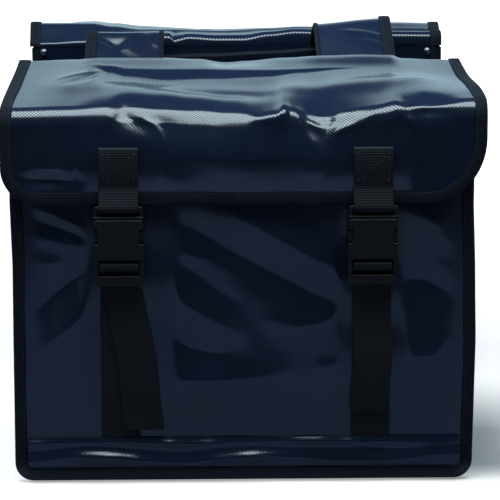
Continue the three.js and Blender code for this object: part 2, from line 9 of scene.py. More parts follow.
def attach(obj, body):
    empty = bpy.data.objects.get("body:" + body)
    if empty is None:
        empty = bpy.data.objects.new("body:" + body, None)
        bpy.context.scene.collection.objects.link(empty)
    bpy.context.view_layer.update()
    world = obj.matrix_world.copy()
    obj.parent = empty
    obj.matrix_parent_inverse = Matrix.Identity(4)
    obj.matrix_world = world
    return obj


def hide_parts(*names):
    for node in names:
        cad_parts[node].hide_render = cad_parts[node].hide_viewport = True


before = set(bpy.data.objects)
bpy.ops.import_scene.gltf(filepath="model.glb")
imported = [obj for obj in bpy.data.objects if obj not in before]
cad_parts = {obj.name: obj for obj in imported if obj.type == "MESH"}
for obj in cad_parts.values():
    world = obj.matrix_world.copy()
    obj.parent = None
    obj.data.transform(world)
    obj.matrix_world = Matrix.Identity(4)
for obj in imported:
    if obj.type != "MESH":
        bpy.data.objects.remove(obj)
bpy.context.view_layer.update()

scene = bpy.context.scene
mm = 0.001  # every shape below is worked out in millimetres

# what the whole bag shares with the solids
bag = {
    "cloth": 2.0, "stripCloth": 1.5, "tape": 1.0, "webbing": 1.6, "gap": 0.3,
    "frontY": -240.0, "backY": -76.5, "bottom": 2.2, "corner": 14.0,
    "frontTop": 300.0, "seamTop": 322.0, "flange": 8.0, "stripTop": 38.4,
    "edgeCalm": 11.0, "tapeReach": 8.8, "flangeReach": 6.0, "strapWidth": 32.0,
    "sewnIn": 2.1, "sewnOver": 0.72,  # where the stitches lie on a tape
}
seamStack = 2 * bag["cloth"] + bag["gap"]  # two sheets sewn together
sides = {
    "height": [0, 120, 185, 235, 340],
    "left": [189.2, 188.8, 188.4, 189.8, 189.4],
    "right": [189.2, 190.8, 189.2, 187.2, 187.8],
}
strapRows = [
    {"side": "l", "x": -102.0, "calm": (-122, -64), "tailEnd": 46.0, "drift": 20.0},
    {"side": "r", "x": 105.0, "calm": (85, 125), "tailEnd": 62.0, "drift": 0.0},
]


def lerp(a, b, t):
    return a + (b - a) * t


def ease(t):
    t = np.clip(t, 0, 1)
    return t * t * (3 - 2 * t)


def grows(x, begin, over):  # from 0 at begin up to 1
    return ease((x - begin) / over)


def fades(x, end, over):  # from 1 down to 0 at end
    return ease((end - x) / over)


def hump(x, middle, width):  # 1 in the middle, fading to both sides
    return np.exp(-((x - middle) / width) ** 2)


def waves(x, *rows):  # each row is (height, stretch, start)
    return sum(height * np.sin(x / stretch + start) for height, stretch, start in rows)


def easedLine(x, knots):  # eased steps between (x, value) knots
    xs, ys = np.array(knots, float).T
    i = np.clip(np.searchsorted(xs, x) - 1, 0, len(xs) - 2)
    return lerp(ys[i], ys[i + 1], ease((x - xs[i]) / (xs[i + 1] - xs[i])))


def runLength(line):  # how far along a line each of its points is
    return np.concatenate([[0], np.cumsum(np.linalg.norm(np.diff(line, axis=0), axis=1))])


def rowsOf(columns, rows):  # rows of values under named columns
    return [dict(zip(columns.split(), row)) for row in rows]


def sideHalf(z, side):
    return np.interp(z, sides["height"], sides[side])


def foldField(folds, x, s):  # soft swells and dents
    total = np.zeros(np.broadcast(x, s).shape)
    for f in folds:
        turn = math.radians(f["turn"])
        dx, ds = x - f["x"], s - f["s"]
        along = (dx * math.cos(turn) + ds * math.sin(turn)) / f["length"]
        across = (ds * math.cos(turn) - dx * math.sin(turn)) / f["width"]
        total = total + f["out"] * np.exp(-along ** 2 - across ** 2)
    return total


def creaseField(creases, x, s):  # pinched lines that fade at both ends
    fade = 0.35  # share of the line that fades at each end
    x, s = np.broadcast_arrays(np.asarray(x, float), np.asarray(s, float))
    total = np.zeros(x.shape)
    for c in creases:
        line = np.array(c["line"], float)
        begin = runLength(line)
        near, share = np.full(x.shape, np.inf), np.zeros(x.shape)
        for i, step in enumerate(np.diff(begin)):
            a, d = line[i], (line[i + 1] - line[i]) / step
            t = np.clip((x - a[0]) * d[0] + (s - a[1]) * d[1], 0, step)
            away = np.hypot(x - a[0] - t * d[0], s - a[1] - t * d[1])
            closer = away < near
            near = np.where(closer, away, near)
            share = np.where(closer, (begin[i] + t) / begin[-1], share)
        taper = ease(share / fade) * ease((1 - share) / fade)
        total = total + c["out"] * taper / (1 + (near / c["width"]) ** 2) ** 1.5
    return total


def evenUnder(x, spans, margin):  # the cloth lies even from side to side under a strap
    x = np.asarray(x, float)
    even = x
    for strap, (low, high) in zip(strapRows, spans):
        hold = ease((x - low + margin) / margin) * ease((high + margin - x) / margin)
        even = even + hold * (strap["x"] - even)
    return even


class Wire:  # a socket that does sums through Math nodes
    def __init__(self, nodes, socket):
        self.nodes, self.socket = nodes, socket

    def sum(self, operation, first, second=0.0):
        return self.nodes.add("ShaderNodeMath", {"operation": operation}, {0: first, 1: second})

    def __add__(self, other):
        return self.sum("ADD", self, other)

    def __sub__(self, other):
        return self.sum("SUBTRACT", self, other)

    def __rsub__(self, other):
        return self.sum("SUBTRACT", other, self)

    def __mul__(self, other):
        return self.sum("MULTIPLY", self, other)

    def __truediv__(self, other):
        return self.sum("DIVIDE", self, other)

    def __rtruediv__(self, other):
        return self.sum("DIVIDE", other, self)

    def __pow__(self, other):
        return self.sum("POWER", self, other)

    __radd__, __rmul__ = __add__, __mul__

    def sine(self):
        return self.sum("SINE", self)

    def wave(self, pitch):
        return (self * (2 * math.pi / pitch)).sine()

    def size(self):
        return self.sum("ABSOLUTE", self)

    def over(self, low, high):  # 0 below low, 1 above high, smooth between
        return self.nodes.add("ShaderNodeMapRange", {"interpolation_type": "SMOOTHSTEP"},
                              {0: self, 1: low, 2: high, 3: 0.0, 4: 1.0})


class Nodes:  # one node tree and the ways to fill it
    def __init__(self, owner, tree):
        self.owner, self.tree = owner, tree
        tree.nodes.clear()

    def add(self, kind, settings=None, inputs=None, out=0):  # out is None for an end node
        node = self.tree.nodes.new(kind)
        for key, value in (settings or {}).items():
            setattr(node, key, value)
        for key, value in (inputs or {}).items():
            for given in value if isinstance(value, list) else [value]:
                if isinstance(given, Wire):
                    self.tree.links.new(given.socket, node.inputs[key])
                else:
                    node.inputs[key].default_value = given
        return None if out is None else Wire(self, node.outputs[out])

    def outputs(self, kind, inputs=None):  # every output of a new node, by its name
        node = self.add(kind, None, inputs).socket.node
        return {socket.name: Wire(self, socket) for socket in node.outputs}

    def mix(self, factor, first, second):
        return self.add("ShaderNodeMix", {"data_type": "RGBA"}, {0: factor, 6: first, 7: second}, 2)

    def split(self, vector):
        return list(self.outputs("ShaderNodeSeparateXYZ", {0: vector}).values())

    def noise(self, where, scale, detail=3.0, rough=0.5):
        return self.add("ShaderNodeTexNoise", {"noise_dimensions": "3D"},
                        {"Vector": where, "Scale": scale, "Detail": detail, "Roughness": rough})

    def spot(self):  # place on the piece, in metres
        return self.add("ShaderNodeTexCoord", None, None, "Object")

    def cut(self):  # place on the flat cut, in metres
        return self.add("ShaderNodeUVMap", {"uv_map": "cut"})

    def bump(self, height, depth):
        return self.add("ShaderNodeBump", None, {"Strength": 1.0, "Distance": depth, "Height": height})

    def surface(self, **inputs):
        named = {key.replace("_", " "): value for key, value in inputs.items()}
        return self.add("ShaderNodeBsdfPrincipled", None, named)

    def close(self, shader, end="ShaderNodeOutputMaterial"):
        self.add(end, None, {"Surface": shader}, None)
        return self.owner

    def finish(self, **inputs):
        return self.close(self.surface(**inputs))


def shading(owner):  # the empty tree of a new material or world
    owner.use_nodes = True
    return Nodes(owner, owner.node_tree)


def newLook(name):
    return shading(bpy.data.materials.new(name))


def navyTarpaulin(name, shine, depth):  # depth is how far the weave shows through the coating
    cloth = {
        "navy": (0.0031, 0.0055, 0.0130, 1), "deep": (0.0024, 0.0042, 0.0098, 1),
        "grooveShade": (0.0024, 0.0042, 0.0095, 1), "grooveShadeShare": 0.3, "pitch": 0.0021, "topEdge": (0.14, 0.56),
        "relief": 0.000022, "grain": 0.12, "gloss": 0.085, "smudge": 0.1, "matte": 0.4, "matteShine": 0.06,
        "pressed": 0.42, "pressedZ": (0.26, 0.3), "tops": 0.98,
        "cloud": (14.0, 4.0), "cloudEdge": (0.35, 0.68), "smear": (55.0, 5.0, 0.6), "fine": (900.0, 2.0),
    }
    look = newLook(name)
    u, v, _ = look.split(look.cut())
    turn = math.pi / (cloth["pitch"] * math.sqrt(2))
    warp, weft = ((u + v) * turn).sine().size(), ((u - v) * turn).sine().size()
    weave = warp.over(*cloth["topEdge"]) * weft.over(*cloth["topEdge"])  # flat tops, narrow grooves
    spot = look.spot()
    cloud, smudge = look.noise(spot, *cloth["cloud"]), look.noise(spot, *cloth["smear"])
    grain = look.noise(spot, *cloth["fine"])
    colour = look.mix(cloud.over(*cloth["cloudEdge"]), cloth["deep"], cloth["navy"])
    # painted shade: the colour is darker in the sunken grooves of the weave
    colour = look.mix((1 - weave) * cloth["grooveShadeShare"], colour, cloth["grooveShade"])
    relief = look.bump(weave + grain * cloth["grain"], cloth["relief"])
    rough = smudge * cloth["smudge"] + cloth["gloss"]
    tops = look.surface(Base_Color=colour, Roughness=rough, Normal=relief, Specular_IOR_Level=shine)
    grooves = look.surface(Base_Color=colour, Roughness=cloth["matte"], Normal=relief,
                           Specular_IOR_Level=cloth["matteShine"])
    height = look.split(spot)[2]  # low down the weave is pressed flat
    show = height.over(*cloth["pressedZ"]) * (depth - cloth["pressed"]) + cloth["pressed"]
    share = weave * show + (cloth["tops"] - show)
    return look.close(look.add("ShaderNodeMixShader", None, {0: share, 1: grooves, 2: tops}))


def blackEdging():
    band = {
        "black": (0.0021, 0.0029, 0.0053, 1), "worn": (0.007, 0.0092, 0.014, 1), "wear": 0.6,
        "floorLight": (0.017, 0.022, 0.036, 1), "floorLightZ": (0.006, 0.018), "floorLit": 0.8,
        "rib": 0.0009, "thread": 0.0007, "relief": 0.00008, "rough": 0.6, "sheen": (0.6, 0.75, 1, 1),
        "ribHigh": 0.6, "threadHigh": 0.5, "fuzzHigh": 1.2, "fuzz": (700.0, 3.0, 0.7),
        "fuzzEdge": (0.45, 0.62), "patch": (60.0, 3.0), "patchEdge": (0.52, 0.75),
    }
    look = newLook("blackEdging")
    u, v, _ = look.split(look.cut())
    ribs, threads = u.wave(band["rib"]), v.wave(band["thread"])
    weave = ribs * band["ribHigh"] + threads * ribs * band["threadHigh"]
    spot = look.spot()
    fuzz, patch = look.noise(spot, *band["fuzz"]), look.noise(spot, *band["patch"])
    wear = patch.over(*band["patchEdge"]) * fuzz.over(*band["fuzzEdge"]) * band["wear"]
    floorLit = (1 - look.split(spot)[2].over(*band["floorLightZ"])) * band["floorLit"]  # painted light from the white floor: lighter and bluer near the ground
    colour = look.mix(floorLit, look.mix(wear, band["black"], band["worn"]), band["floorLight"])
    relief = look.bump(weave + fuzz * band["fuzzHigh"], band["relief"])
    return look.finish(Base_Color=colour, Roughness=fuzz * 0.2 + band["rough"], Normal=relief,
                       Specular_IOR_Level=0.05, Sheen_Weight=0.005, Sheen_Roughness=0.4,
                       Sheen_Tint=band["sheen"])


def ribbedBelt():
    web = {
        "black": (0.0032, 0.0038, 0.0054, 1), "light": (0.0064, 0.0080, 0.0120, 1), "lit": 0.55,
        "rib": 0.0021, "yarn": 0.0016, "selvedge": (0.0134, 0.0146), "relief": 0.00012, "rough": 0.5,
        "sheen": (0.6, 0.75, 1, 1), "ribHigh": 0.7, "yarnHigh": 0.6, "fuzzHigh": 0.8, "edgeHigh": 0.6,
        "fuzz": (800.0, 2.0, 0.6), "patch": (45.0, 3.0), "patchEdge": (0.25, 0.7), "litEdge": (0.1, 1.0),
    }
    look = newLook("ribbedBelt")
    u, v, _ = look.split(look.cut())
    ribs, yarns = v.wave(web["rib"]), u.wave(web["yarn"])
    weave = ribs * web["ribHigh"] + ribs * yarns * web["yarnHigh"]
    edge = u.size().over(*web["selvedge"])  # the two selvedges lie a little proud
    spot = look.spot()
    fuzz, patch = look.noise(spot, *web["fuzz"]), look.noise(spot, *web["patch"])
    lit = weave.over(*web["litEdge"]) * web["lit"] * patch.over(*web["patchEdge"])
    colour = look.mix(lit, web["black"], web["light"])
    relief = look.bump(weave + fuzz * web["fuzzHigh"] + edge * web["edgeHigh"], web["relief"])
    return look.finish(Base_Color=colour, Roughness=fuzz * 0.2 + web["rough"], Normal=relief,
                       Specular_IOR_Level=0.06, Sheen_Weight=0.01, Sheen_Roughness=0.4,
                       Sheen_Tint=web["sheen"])


def blackPlastic():
    moulded = {"black": (0.0032, 0.0026, 0.0021, 1), "scuffed": (0.010, 0.0094, 0.0085, 1),
               "relief": 0.00004, "rough": 0.34, "grain": (1600.0, 2.0, 0.6), "flow": (90.0, 3.0),
               "flowEdge": (0.45, 0.65), "scuff": (260.0, 6.0, 0.75), "scuffEdge": (0.60, 0.70)}
    look = newLook("blackPlastic")
    spot = look.spot()
    grain, flow = look.noise(spot, *moulded["grain"]), look.noise(spot, *moulded["flow"])
    scuff = look.noise(spot, *moulded["scuff"]).over(*moulded["scuffEdge"]) * flow.over(*moulded["flowEdge"])
    colour = look.mix(scuff * 0.5, moulded["black"], moulded["scuffed"])
    rough = flow * 0.14 + scuff * 0.12 + moulded["rough"]
    relief = look.bump(grain + flow * 0.6, moulded["relief"])
    return look.finish(Base_Color=colour, Roughness=rough, Normal=relief, Specular_IOR_Level=0.12)


def darkMetal():
    steel = {"bright": (0.11, 0.115, 0.125, 1), "dull": (0.05, 0.052, 0.058, 1), "relief": 0.00002,
             "tarnish": (420.0, 4.0, 0.6), "scratch": (2600.0, 2.0), "dullEdge": (0.4, 0.65)}
    look = newLook("darkMetal")
    spot = look.spot()
    tarnish, scratch = look.noise(spot, *steel["tarnish"]), look.noise(spot, *steel["scratch"])
    colour = look.mix(tarnish.over(*steel["dullEdge"]), steel["bright"], steel["dull"])
    return look.finish(Base_Color=colour, Metallic=0.95, Roughness=tarnish * 0.2 + 0.16,
                       Normal=look.bump(scratch, steel["relief"]))


def blackThread():
    yarn = {"black": (0.0026, 0.0032, 0.0046, 1), "light": (0.0065, 0.0078, 0.0105, 1),
            "twist": 9000.0, "relief": 0.00006, "fuzz": (2500.0, 2.0), "fuzzEdge": (0.35, 0.7)}
    look = newLook("blackThread")
    spot = look.spot()
    u, v, w = look.split(spot)
    twist = ((u + v + w) * yarn["twist"]).sine()
    fuzz = look.noise(spot, *yarn["fuzz"])
    colour = look.mix(fuzz.over(*yarn["fuzzEdge"]), yarn["black"], yarn["light"])
    return look.finish(Base_Color=colour, Roughness=fuzz * 0.15 + 0.5, Specular_IOR_Level=0.2,
                       Normal=look.bump(twist, yarn["relief"]))


tarpaulin = navyTarpaulin("navyTarpaulin", 0.55, 0.94)  # lids and bridge straps
smoothSheet = navyTarpaulin("smoothTarpaulin", 0.38, 0.45)  # panels, gussets and base strips
edging, belt = blackEdging(), ribbedBelt()
plastic, metal, thread = blackPlastic(), darkMetal(), blackThread()
print("materials made")


def addObject(name, data):
    made = bpy.data.objects.new(name, data)
    scene.collection.objects.link(made)
    return made


def outwardFaces(mesh):  # a closed shape whose faces look inwards is turned
    shape = bmesh.new()
    shape.from_mesh(mesh)
    if shape.calc_volume(signed=True) < 0:
        bmesh.ops.reverse_faces(shape, faces=shape.faces)
        shape.to_mesh(mesh)
    shape.free()


def smoothShade(mesh, crisp=None):  # crisp is the angle past which an edge stays sharp
    mesh.polygons.foreach_set("use_smooth", np.ones(len(mesh.polygons), bool))
    if crisp:
        mesh.set_sharp_from_angle(angle=math.radians(crisp))


def makePiece(name, points, faces, material, cut=None):
    mesh = bpy.data.meshes.new(name)
    mesh.from_pydata((np.asarray(points, float) * mm).tolist(), [], [list(f) for f in faces])
    if cut is not None:
        layer = mesh.uv_layers.new(name="cut")
        corner = np.empty(len(mesh.loops), np.int64)
        mesh.loops.foreach_get("vertex_index", corner)
        layer.data.foreach_set("uv", (np.asarray(cut, float)[corner] * mm).astype(np.float32).ravel())
    outwardFaces(mesh)
    smoothShade(mesh, 55)
    mesh.materials.append(material)
    mesh.update()
    return addObject(name, mesh)


def turned(points, side):  # the far bag is the near one turned half round
    return points * np.array([-1, -1, 1]) if side == "far" else points


def sheetPiece(name, grid, thick, cut, material, outward, side="near"):  # two skins and a rim
    grid, outward = turned(grid, side), turned(np.array(outward, float), side)
    rows, cols = grid.shape[:2]
    normal = np.cross(np.gradient(grid, axis=0), np.gradient(grid, axis=1))
    normal /= np.linalg.norm(normal, axis=2, keepdims=True)
    if normal[rows // 2, cols // 2] @ outward < 0:
        normal = -normal
    points = np.concatenate([grid.reshape(-1, 3), (grid - normal * thick).reshape(-1, 3)])
    index = np.arange(rows * cols).reshape(rows, cols)
    quad = np.stack([index[:-1, :-1], index[:-1, 1:], index[1:, 1:], index[1:, :-1]], -1).reshape(-1, 4)
    rim = np.concatenate([index[0, :-1], index[:-1, -1], index[-1, :0:-1], index[:0:-1, 0]])
    after = np.roll(rim, -1)
    under = rows * cols
    edge = np.stack([after, rim, rim + under, after + under], -1)
    faces = np.concatenate([quad, quad[:, ::-1] + under, edge])
    return makePiece(name, points, faces, material, np.tile(cut.reshape(-1, 2), (2, 1)))


def sweptPiece(name, rings, cut, material, side):  # a closed section carried along a path
    count, size = rings.shape[:2]
    index = np.arange(count * size).reshape(count, size)
    beside = np.roll(index, -1, axis=1)
    faces = np.stack([index[:-1], beside[:-1], beside[1:], index[1:]], -1).reshape(-1, 4).tolist()
    faces += [index[0, ::-1].tolist(), index[-1].tolist()]
    return makePiece(name, turned(rings, side).reshape(-1, 3), faces, material, cut.reshape(-1, 2))


def fit(piece, slot, *nodes):
    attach(piece, "root")
    if nodes:
        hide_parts(*nodes)
    return piece


# edge tape: a leg on each side of the sheet, from its sewn end past its groove to the fold
edgeTape = {
    "along": [0, 0.35, 1.3, 2.1, 2.9, 4.0], "lift": [0.25, 0.72, 0.92, 0.62, 0.94, 1.02, 1.0],
    "fullReach": 6.0, "nose": 1.5, "ripple": [(0.0144, 9.5, 0), (0.012, 23, 1.7)],
    "pull": [(0.03, 14, 0.6), (0.025, 37, 0)],
}


def tapeSection(stack, reachOut, reachIn):  # folded tape round an edge, with its sewn groove
    half, tape = stack / 2 + bag["gap"], bag["tape"]
    turn = np.radians(np.linspace(90, -90, 9))
    lift = np.array(edgeTape["lift"]) * tape

    def leg(reach):
        start = np.array(edgeTape["along"]) * min(1, reach / edgeTape["fullReach"]) - reach
        return np.append(start, -reach / 4)

    outside = [*zip(leg(reachOut), half + lift),
               *zip(edgeTape["nose"] * np.cos(turn), (half + tape) * np.sin(turn)),
               *zip(leg(reachIn)[::-1], -half - lift[::-1])]
    inside = [(-reachIn, -half), (-1.0, -half), (0.3, -half * 0.8), (0.55, 0),
              (0.3, half * 0.8), (-1.0, half), (-reachOut, half)]
    return np.array(outside + inside, float)


def tapePiece(name, middle, outward, normal, section, side):
    length = runLength(middle)
    ripple = 1 + waves(length, *edgeTape["ripple"])[:, None]
    pull = 1 + waves(length, *edgeTape["pull"])[:, None]
    along, across = section.T
    along = np.where(along < 0, along * pull, along)
    rings = middle[:, None] + outward[:, None] * along[:, :, None]
    rings = rings + normal[:, None] * (across * ripple)[:, :, None]
    cut = np.stack(np.broadcast_arrays(length[:, None], runLength(section)[None]), -1)
    return sweptPiece(name, rings, cut, edging, side)


# the panels' outline: left side down, round the bottom, right side up
def outlineStations(top, step=4.0):
    low = bag["bottom"] + bag["corner"]
    angle = np.radians(np.linspace(90, 0, 10))
    height = np.linspace(top, low, int((top - low) / step))
    cornerZ = bag["bottom"] + bag["corner"] * (1 - np.cos(angle))
    shrink = bag["corner"] * (1 - np.sin(angle))

    def half(sign, side):
        bend = sideHalf(cornerZ[1:], side) - shrink[1:]
        x = sign * np.concatenate([sideHalf(height, side), bend])
        z = np.concatenate([height, cornerZ[1:]])
        turn = np.concatenate([np.full(len(height), math.pi / 2), angle[1:]])
        return np.stack([x, z, sign * np.sin(turn), -np.cos(turn), turn], -1)

    left, right = half(-1, "left"), half(1, "right")[::-1]
    across = np.linspace(left[-1, 0], right[0, 0], 90)[1:-1]
    none = np.zeros(len(across))
    floor = np.stack([across, none + bag["bottom"], none, none - 1, none], -1)
    return np.concatenate([left, floor, right])


# front panel: swells and creases of the cloth, s runs up
frontPanel = {
    "crown": 5.0, "crownHalf": 195.0, "rows": 138, "columns": 177, "strapMargin": 14,
    "calmLow": 45.0, "calmHigh": 84.0, "calmSwell": 30.0, "calmCrease": 22.0,
    "folds": rowsOf("x s turn length width out", [
        (40, 201, -30, 80, 17, 2.8),
        (20, 180, -28, 85, 15, -2.8),
        (-42, 149, -34, 48, 14, 2.4),
        (-48, 117, -24, 44, 14, -2.4),
        (-22, 88, 1, 62, 17, 2.8),
        (2, 94, 0, 36, 24, 1.6),
        (152, 106, 12, 44, 26, 4.2),
        (150, 171, -20, 46, 24, -4.2),
        (142, 229, -18, 48, 16, 3.0),
        (-148, 131, 43, 44, 15, 3.2),
        (-146, 170, 35, 42, 14, -2.8),
    ]),
    "creases": rowsOf("out width line", [
        (1.3, 8, [(-30, 248), (0, 225), (30, 206), (60, 189), (96, 171)]),
        (-1.4, 8, [(-80, 225), (-40, 217), (-10, 197), (20, 181), (60, 160), (96, 152)]),
        (0.9, 7, [(-66, 198), (-30, 192), (6, 172)]),
        (-1.2, 8, [(-62, 196), (-34, 174), (4, 144)]),
        (1.4, 7, [(-90, 180), (-60, 159), (-38, 146), (2, 122)]),
        (-1.6, 7, [(-86, 144), (-44, 114), (-20, 110), (4, 126)]),
        (1.6, 9, [(-88, 87), (-40, 88), (0, 90), (44, 91)]),
        (-2.0, 7, [(108, 42), (150, 48), (192, 66)]),
        (1.8, 8, [(8, 142), (44, 133), (64, 137), (98, 154)]),
        (1.0, 7, [(54, 98), (72, 99), (94, 102)]),
        (1.3, 5, [(50, 61), (72, 66), (94, 64)]),
        (1.6, 8, [(118, 172), (127, 138), (140, 107), (158, 108), (166, 120), (190, 124)]),
        (-1.4, 7, [(112, 172), (150, 170), (168, 160), (188, 138)]),
        (1.6, 6, [(150, 232), (162, 208), (184, 194)]),
        (1.2, 6, [(154, 190), (170, 176), (188, 172)]),
        (1.5, 8, [(-190, 100), (-160, 118), (-140, 135), (-112, 166)]),
        (-1.4, 7, [(-186, 138), (-163, 152), (-140, 172), (-112, 190)]),
        (1.5, 5, [(-188, 240), (-156, 228), (-114, 208)]),
        (-1.3, 5, [(-188, 229), (-156, 218), (-114, 203)]),
        (1.2, 6, [(-188, 212), (-158, 206), (-116, 198)]),
        (1.0, 5, [(-186, 190), (-166, 186), (-140, 188)]),
        (1.0, 4, [(-172, 42), (-160, 50), (-146, 58)]),
    ]),
}
backPanel = {"rows": 60, "columns": 75, "seat": 0.25, "wave": 0.25, "calmFrom": 180.0, "calm": 30.0}


def panelOut(x, z):
    even = evenUnder(x, [strap["calm"] for strap in strapRows], frontPanel["strapMargin"])
    half = np.where(np.asarray(x) < 0, sideHalf(z, "left"), sideHalf(z, "right"))
    room = half - bag["edgeCalm"] - np.abs(even)
    inZ = grows(z, bag["stripTop"], frontPanel["calmLow"]) * fades(z, bag["frontTop"], frontPanel["calmHigh"])
    crown = frontPanel["crown"] * (1 - (even / frontPanel["crownHalf"]) ** 2)
    swell = ease(room / frontPanel["calmSwell"]) * (crown + foldField(frontPanel["folds"], even, z))
    crease = ease(room / frontPanel["calmCrease"]) * creaseField(frontPanel["creases"], even, z)
    return inZ * (swell + crease)


def panelGrid(top, rows, columns):
    turn = np.radians(np.linspace(0, 90, 8))
    low = bag["bottom"] + bag["corner"]
    z = np.concatenate([low - bag["corner"] * np.cos(turn[:-1]), np.linspace(low, top, rows)])
    rise = np.clip(low - z, 0, bag["corner"])
    shrink = bag["corner"] - np.sqrt(bag["corner"] ** 2 - rise ** 2)
    u = np.linspace(-1, 1, columns)
    left, right = sideHalf(z, "left") - shrink, sideHalf(z, "right") - shrink
    x = np.where(u < 0, u * left[:, None], u * right[:, None])
    return x, np.broadcast_to(z[:, None], x.shape)


def frontPanelPiece(side):
    x, z = panelGrid(bag["frontTop"], frontPanel["rows"], frontPanel["columns"])
    grid, cut = np.stack([x, bag["frontY"] - panelOut(x, z), z], -1), np.stack([x, z], -1)
    return sheetPiece(side + "FrontPanel", grid, bag["cloth"], cut, smoothSheet, (0, -1, 0), side)


def backPanelPiece(side):
    x, z = panelGrid(bag["seamTop"] - bag["gap"], backPanel["rows"], backPanel["columns"])
    wave = backPanel["wave"] * np.sin(x / 41 + z / 63)
    wave = wave * fades(np.abs(x), backPanel["calmFrom"], backPanel["calm"])
    grid, cut = np.stack([x, bag["backY"] - backPanel["seat"] - wave, z], -1), np.stack([x, z], -1)
    return sheetPiece(side + "BackPanel", grid, bag["cloth"], cut, smoothSheet, (0, 1, 0), side)


# gusset: one strip down a side, under the bottom and up the other side
gusset = {
    "columns": 37, "step": 4.4, "pinch": 7.0, "shoulder": 2.0, "wave": 0.45, "lip": 1.0, "bend": 2.2,
    "liftFrom": 120.0, "creaseFrom": 30.0, "creaseGrow": 40.0,
    "shape": [(0, 0), (0.03, 0.35), (0.115, 1), (0.885, 1), (0.97, 0.35), (1, 0)],
    "flange": [(0, 0), (0, -2.5), (0, -5), (0.3, -6.8), (1, -7.7)],  # inward in y, then off the edge
    "creases": rowsOf("out width line", [
        (-1.6, 9, [(-56, 60), (-20, 100), (40, 118)]),
        (1.8, 10, [(50, 90), (6, 140), (-48, 176)]),
        (-1.8, 9, [(-54, 214), (-6, 196), (44, 226)]),
        (1.6, 9, [(-40, 286), (10, 262), (54, 238)]),
        (-2.6, 10, [(-4, 36), (4, 150), (-3, 292)]),
    ]),
}


def gussetPiece(side):
    front, back = bag["frontY"] + seamStack, bag["backY"] - seamStack
    stations = outlineStations(bag["frontTop"] - gusset["lip"], gusset["step"])
    t = np.linspace(0, 1, gusset["columns"])
    y = lerp(front + gusset["bend"], back - gusset["bend"], t)
    middle = y - (front + back) / 2
    x0, z0, nx, nz, turn = stations.T[:, :, None]
    wave = 1 + gusset["wave"] * np.sin(z0 / 34 + np.where(x0 < 0, 0, 2))
    shape = np.interp(t, *np.array(gusset["shape"]).T)
    belly = lerp(gusset["shoulder"], gusset["pinch"], ease(np.sin(math.pi * t)))
    crease = creaseField(gusset["creases"], np.where(x0 < 0, middle, -middle), z0 + 0 * middle)
    crease = crease * grows(z0, gusset["creaseFrom"], gusset["creaseGrow"])
    sideOut = shape * (crease - belly * wave)
    floorOut = (bag["flange"] + bag["bottom"]) * ease(shape)
    out = lerp(sideOut, floorOut, 1 - np.sin(turn)) - bag["flange"]
    inY, off = np.array(gusset["flange"]).T
    yAll = np.concatenate([front + inY, y, back - inY[::-1]])
    edge = np.tile(off, (len(stations), 1))
    outAll = np.concatenate([edge, out, edge[:, ::-1]], 1)
    share = (yAll - front) / (back - front)
    grow = grows(z0, gusset["liftFrom"], bag["frontTop"] - gusset["lip"] - gusset["liftFrom"])
    lift = (bag["seamTop"] - bag["frontTop"]) * share * grow
    grid = np.stack([x0 + nx * outAll, np.broadcast_to(yAll, outAll.shape), z0 + nz * outAll + lift], -1)
    length = runLength(stations[:, :2])
    cut = np.stack(np.broadcast_arrays(length[:, None], yAll[None] + outAll * 0.2), -1)
    piece = sheetPiece(side + "Gusset", grid, bag["cloth"], cut, smoothSheet, (0, 0, -1), side)
    return piece, length[-1]


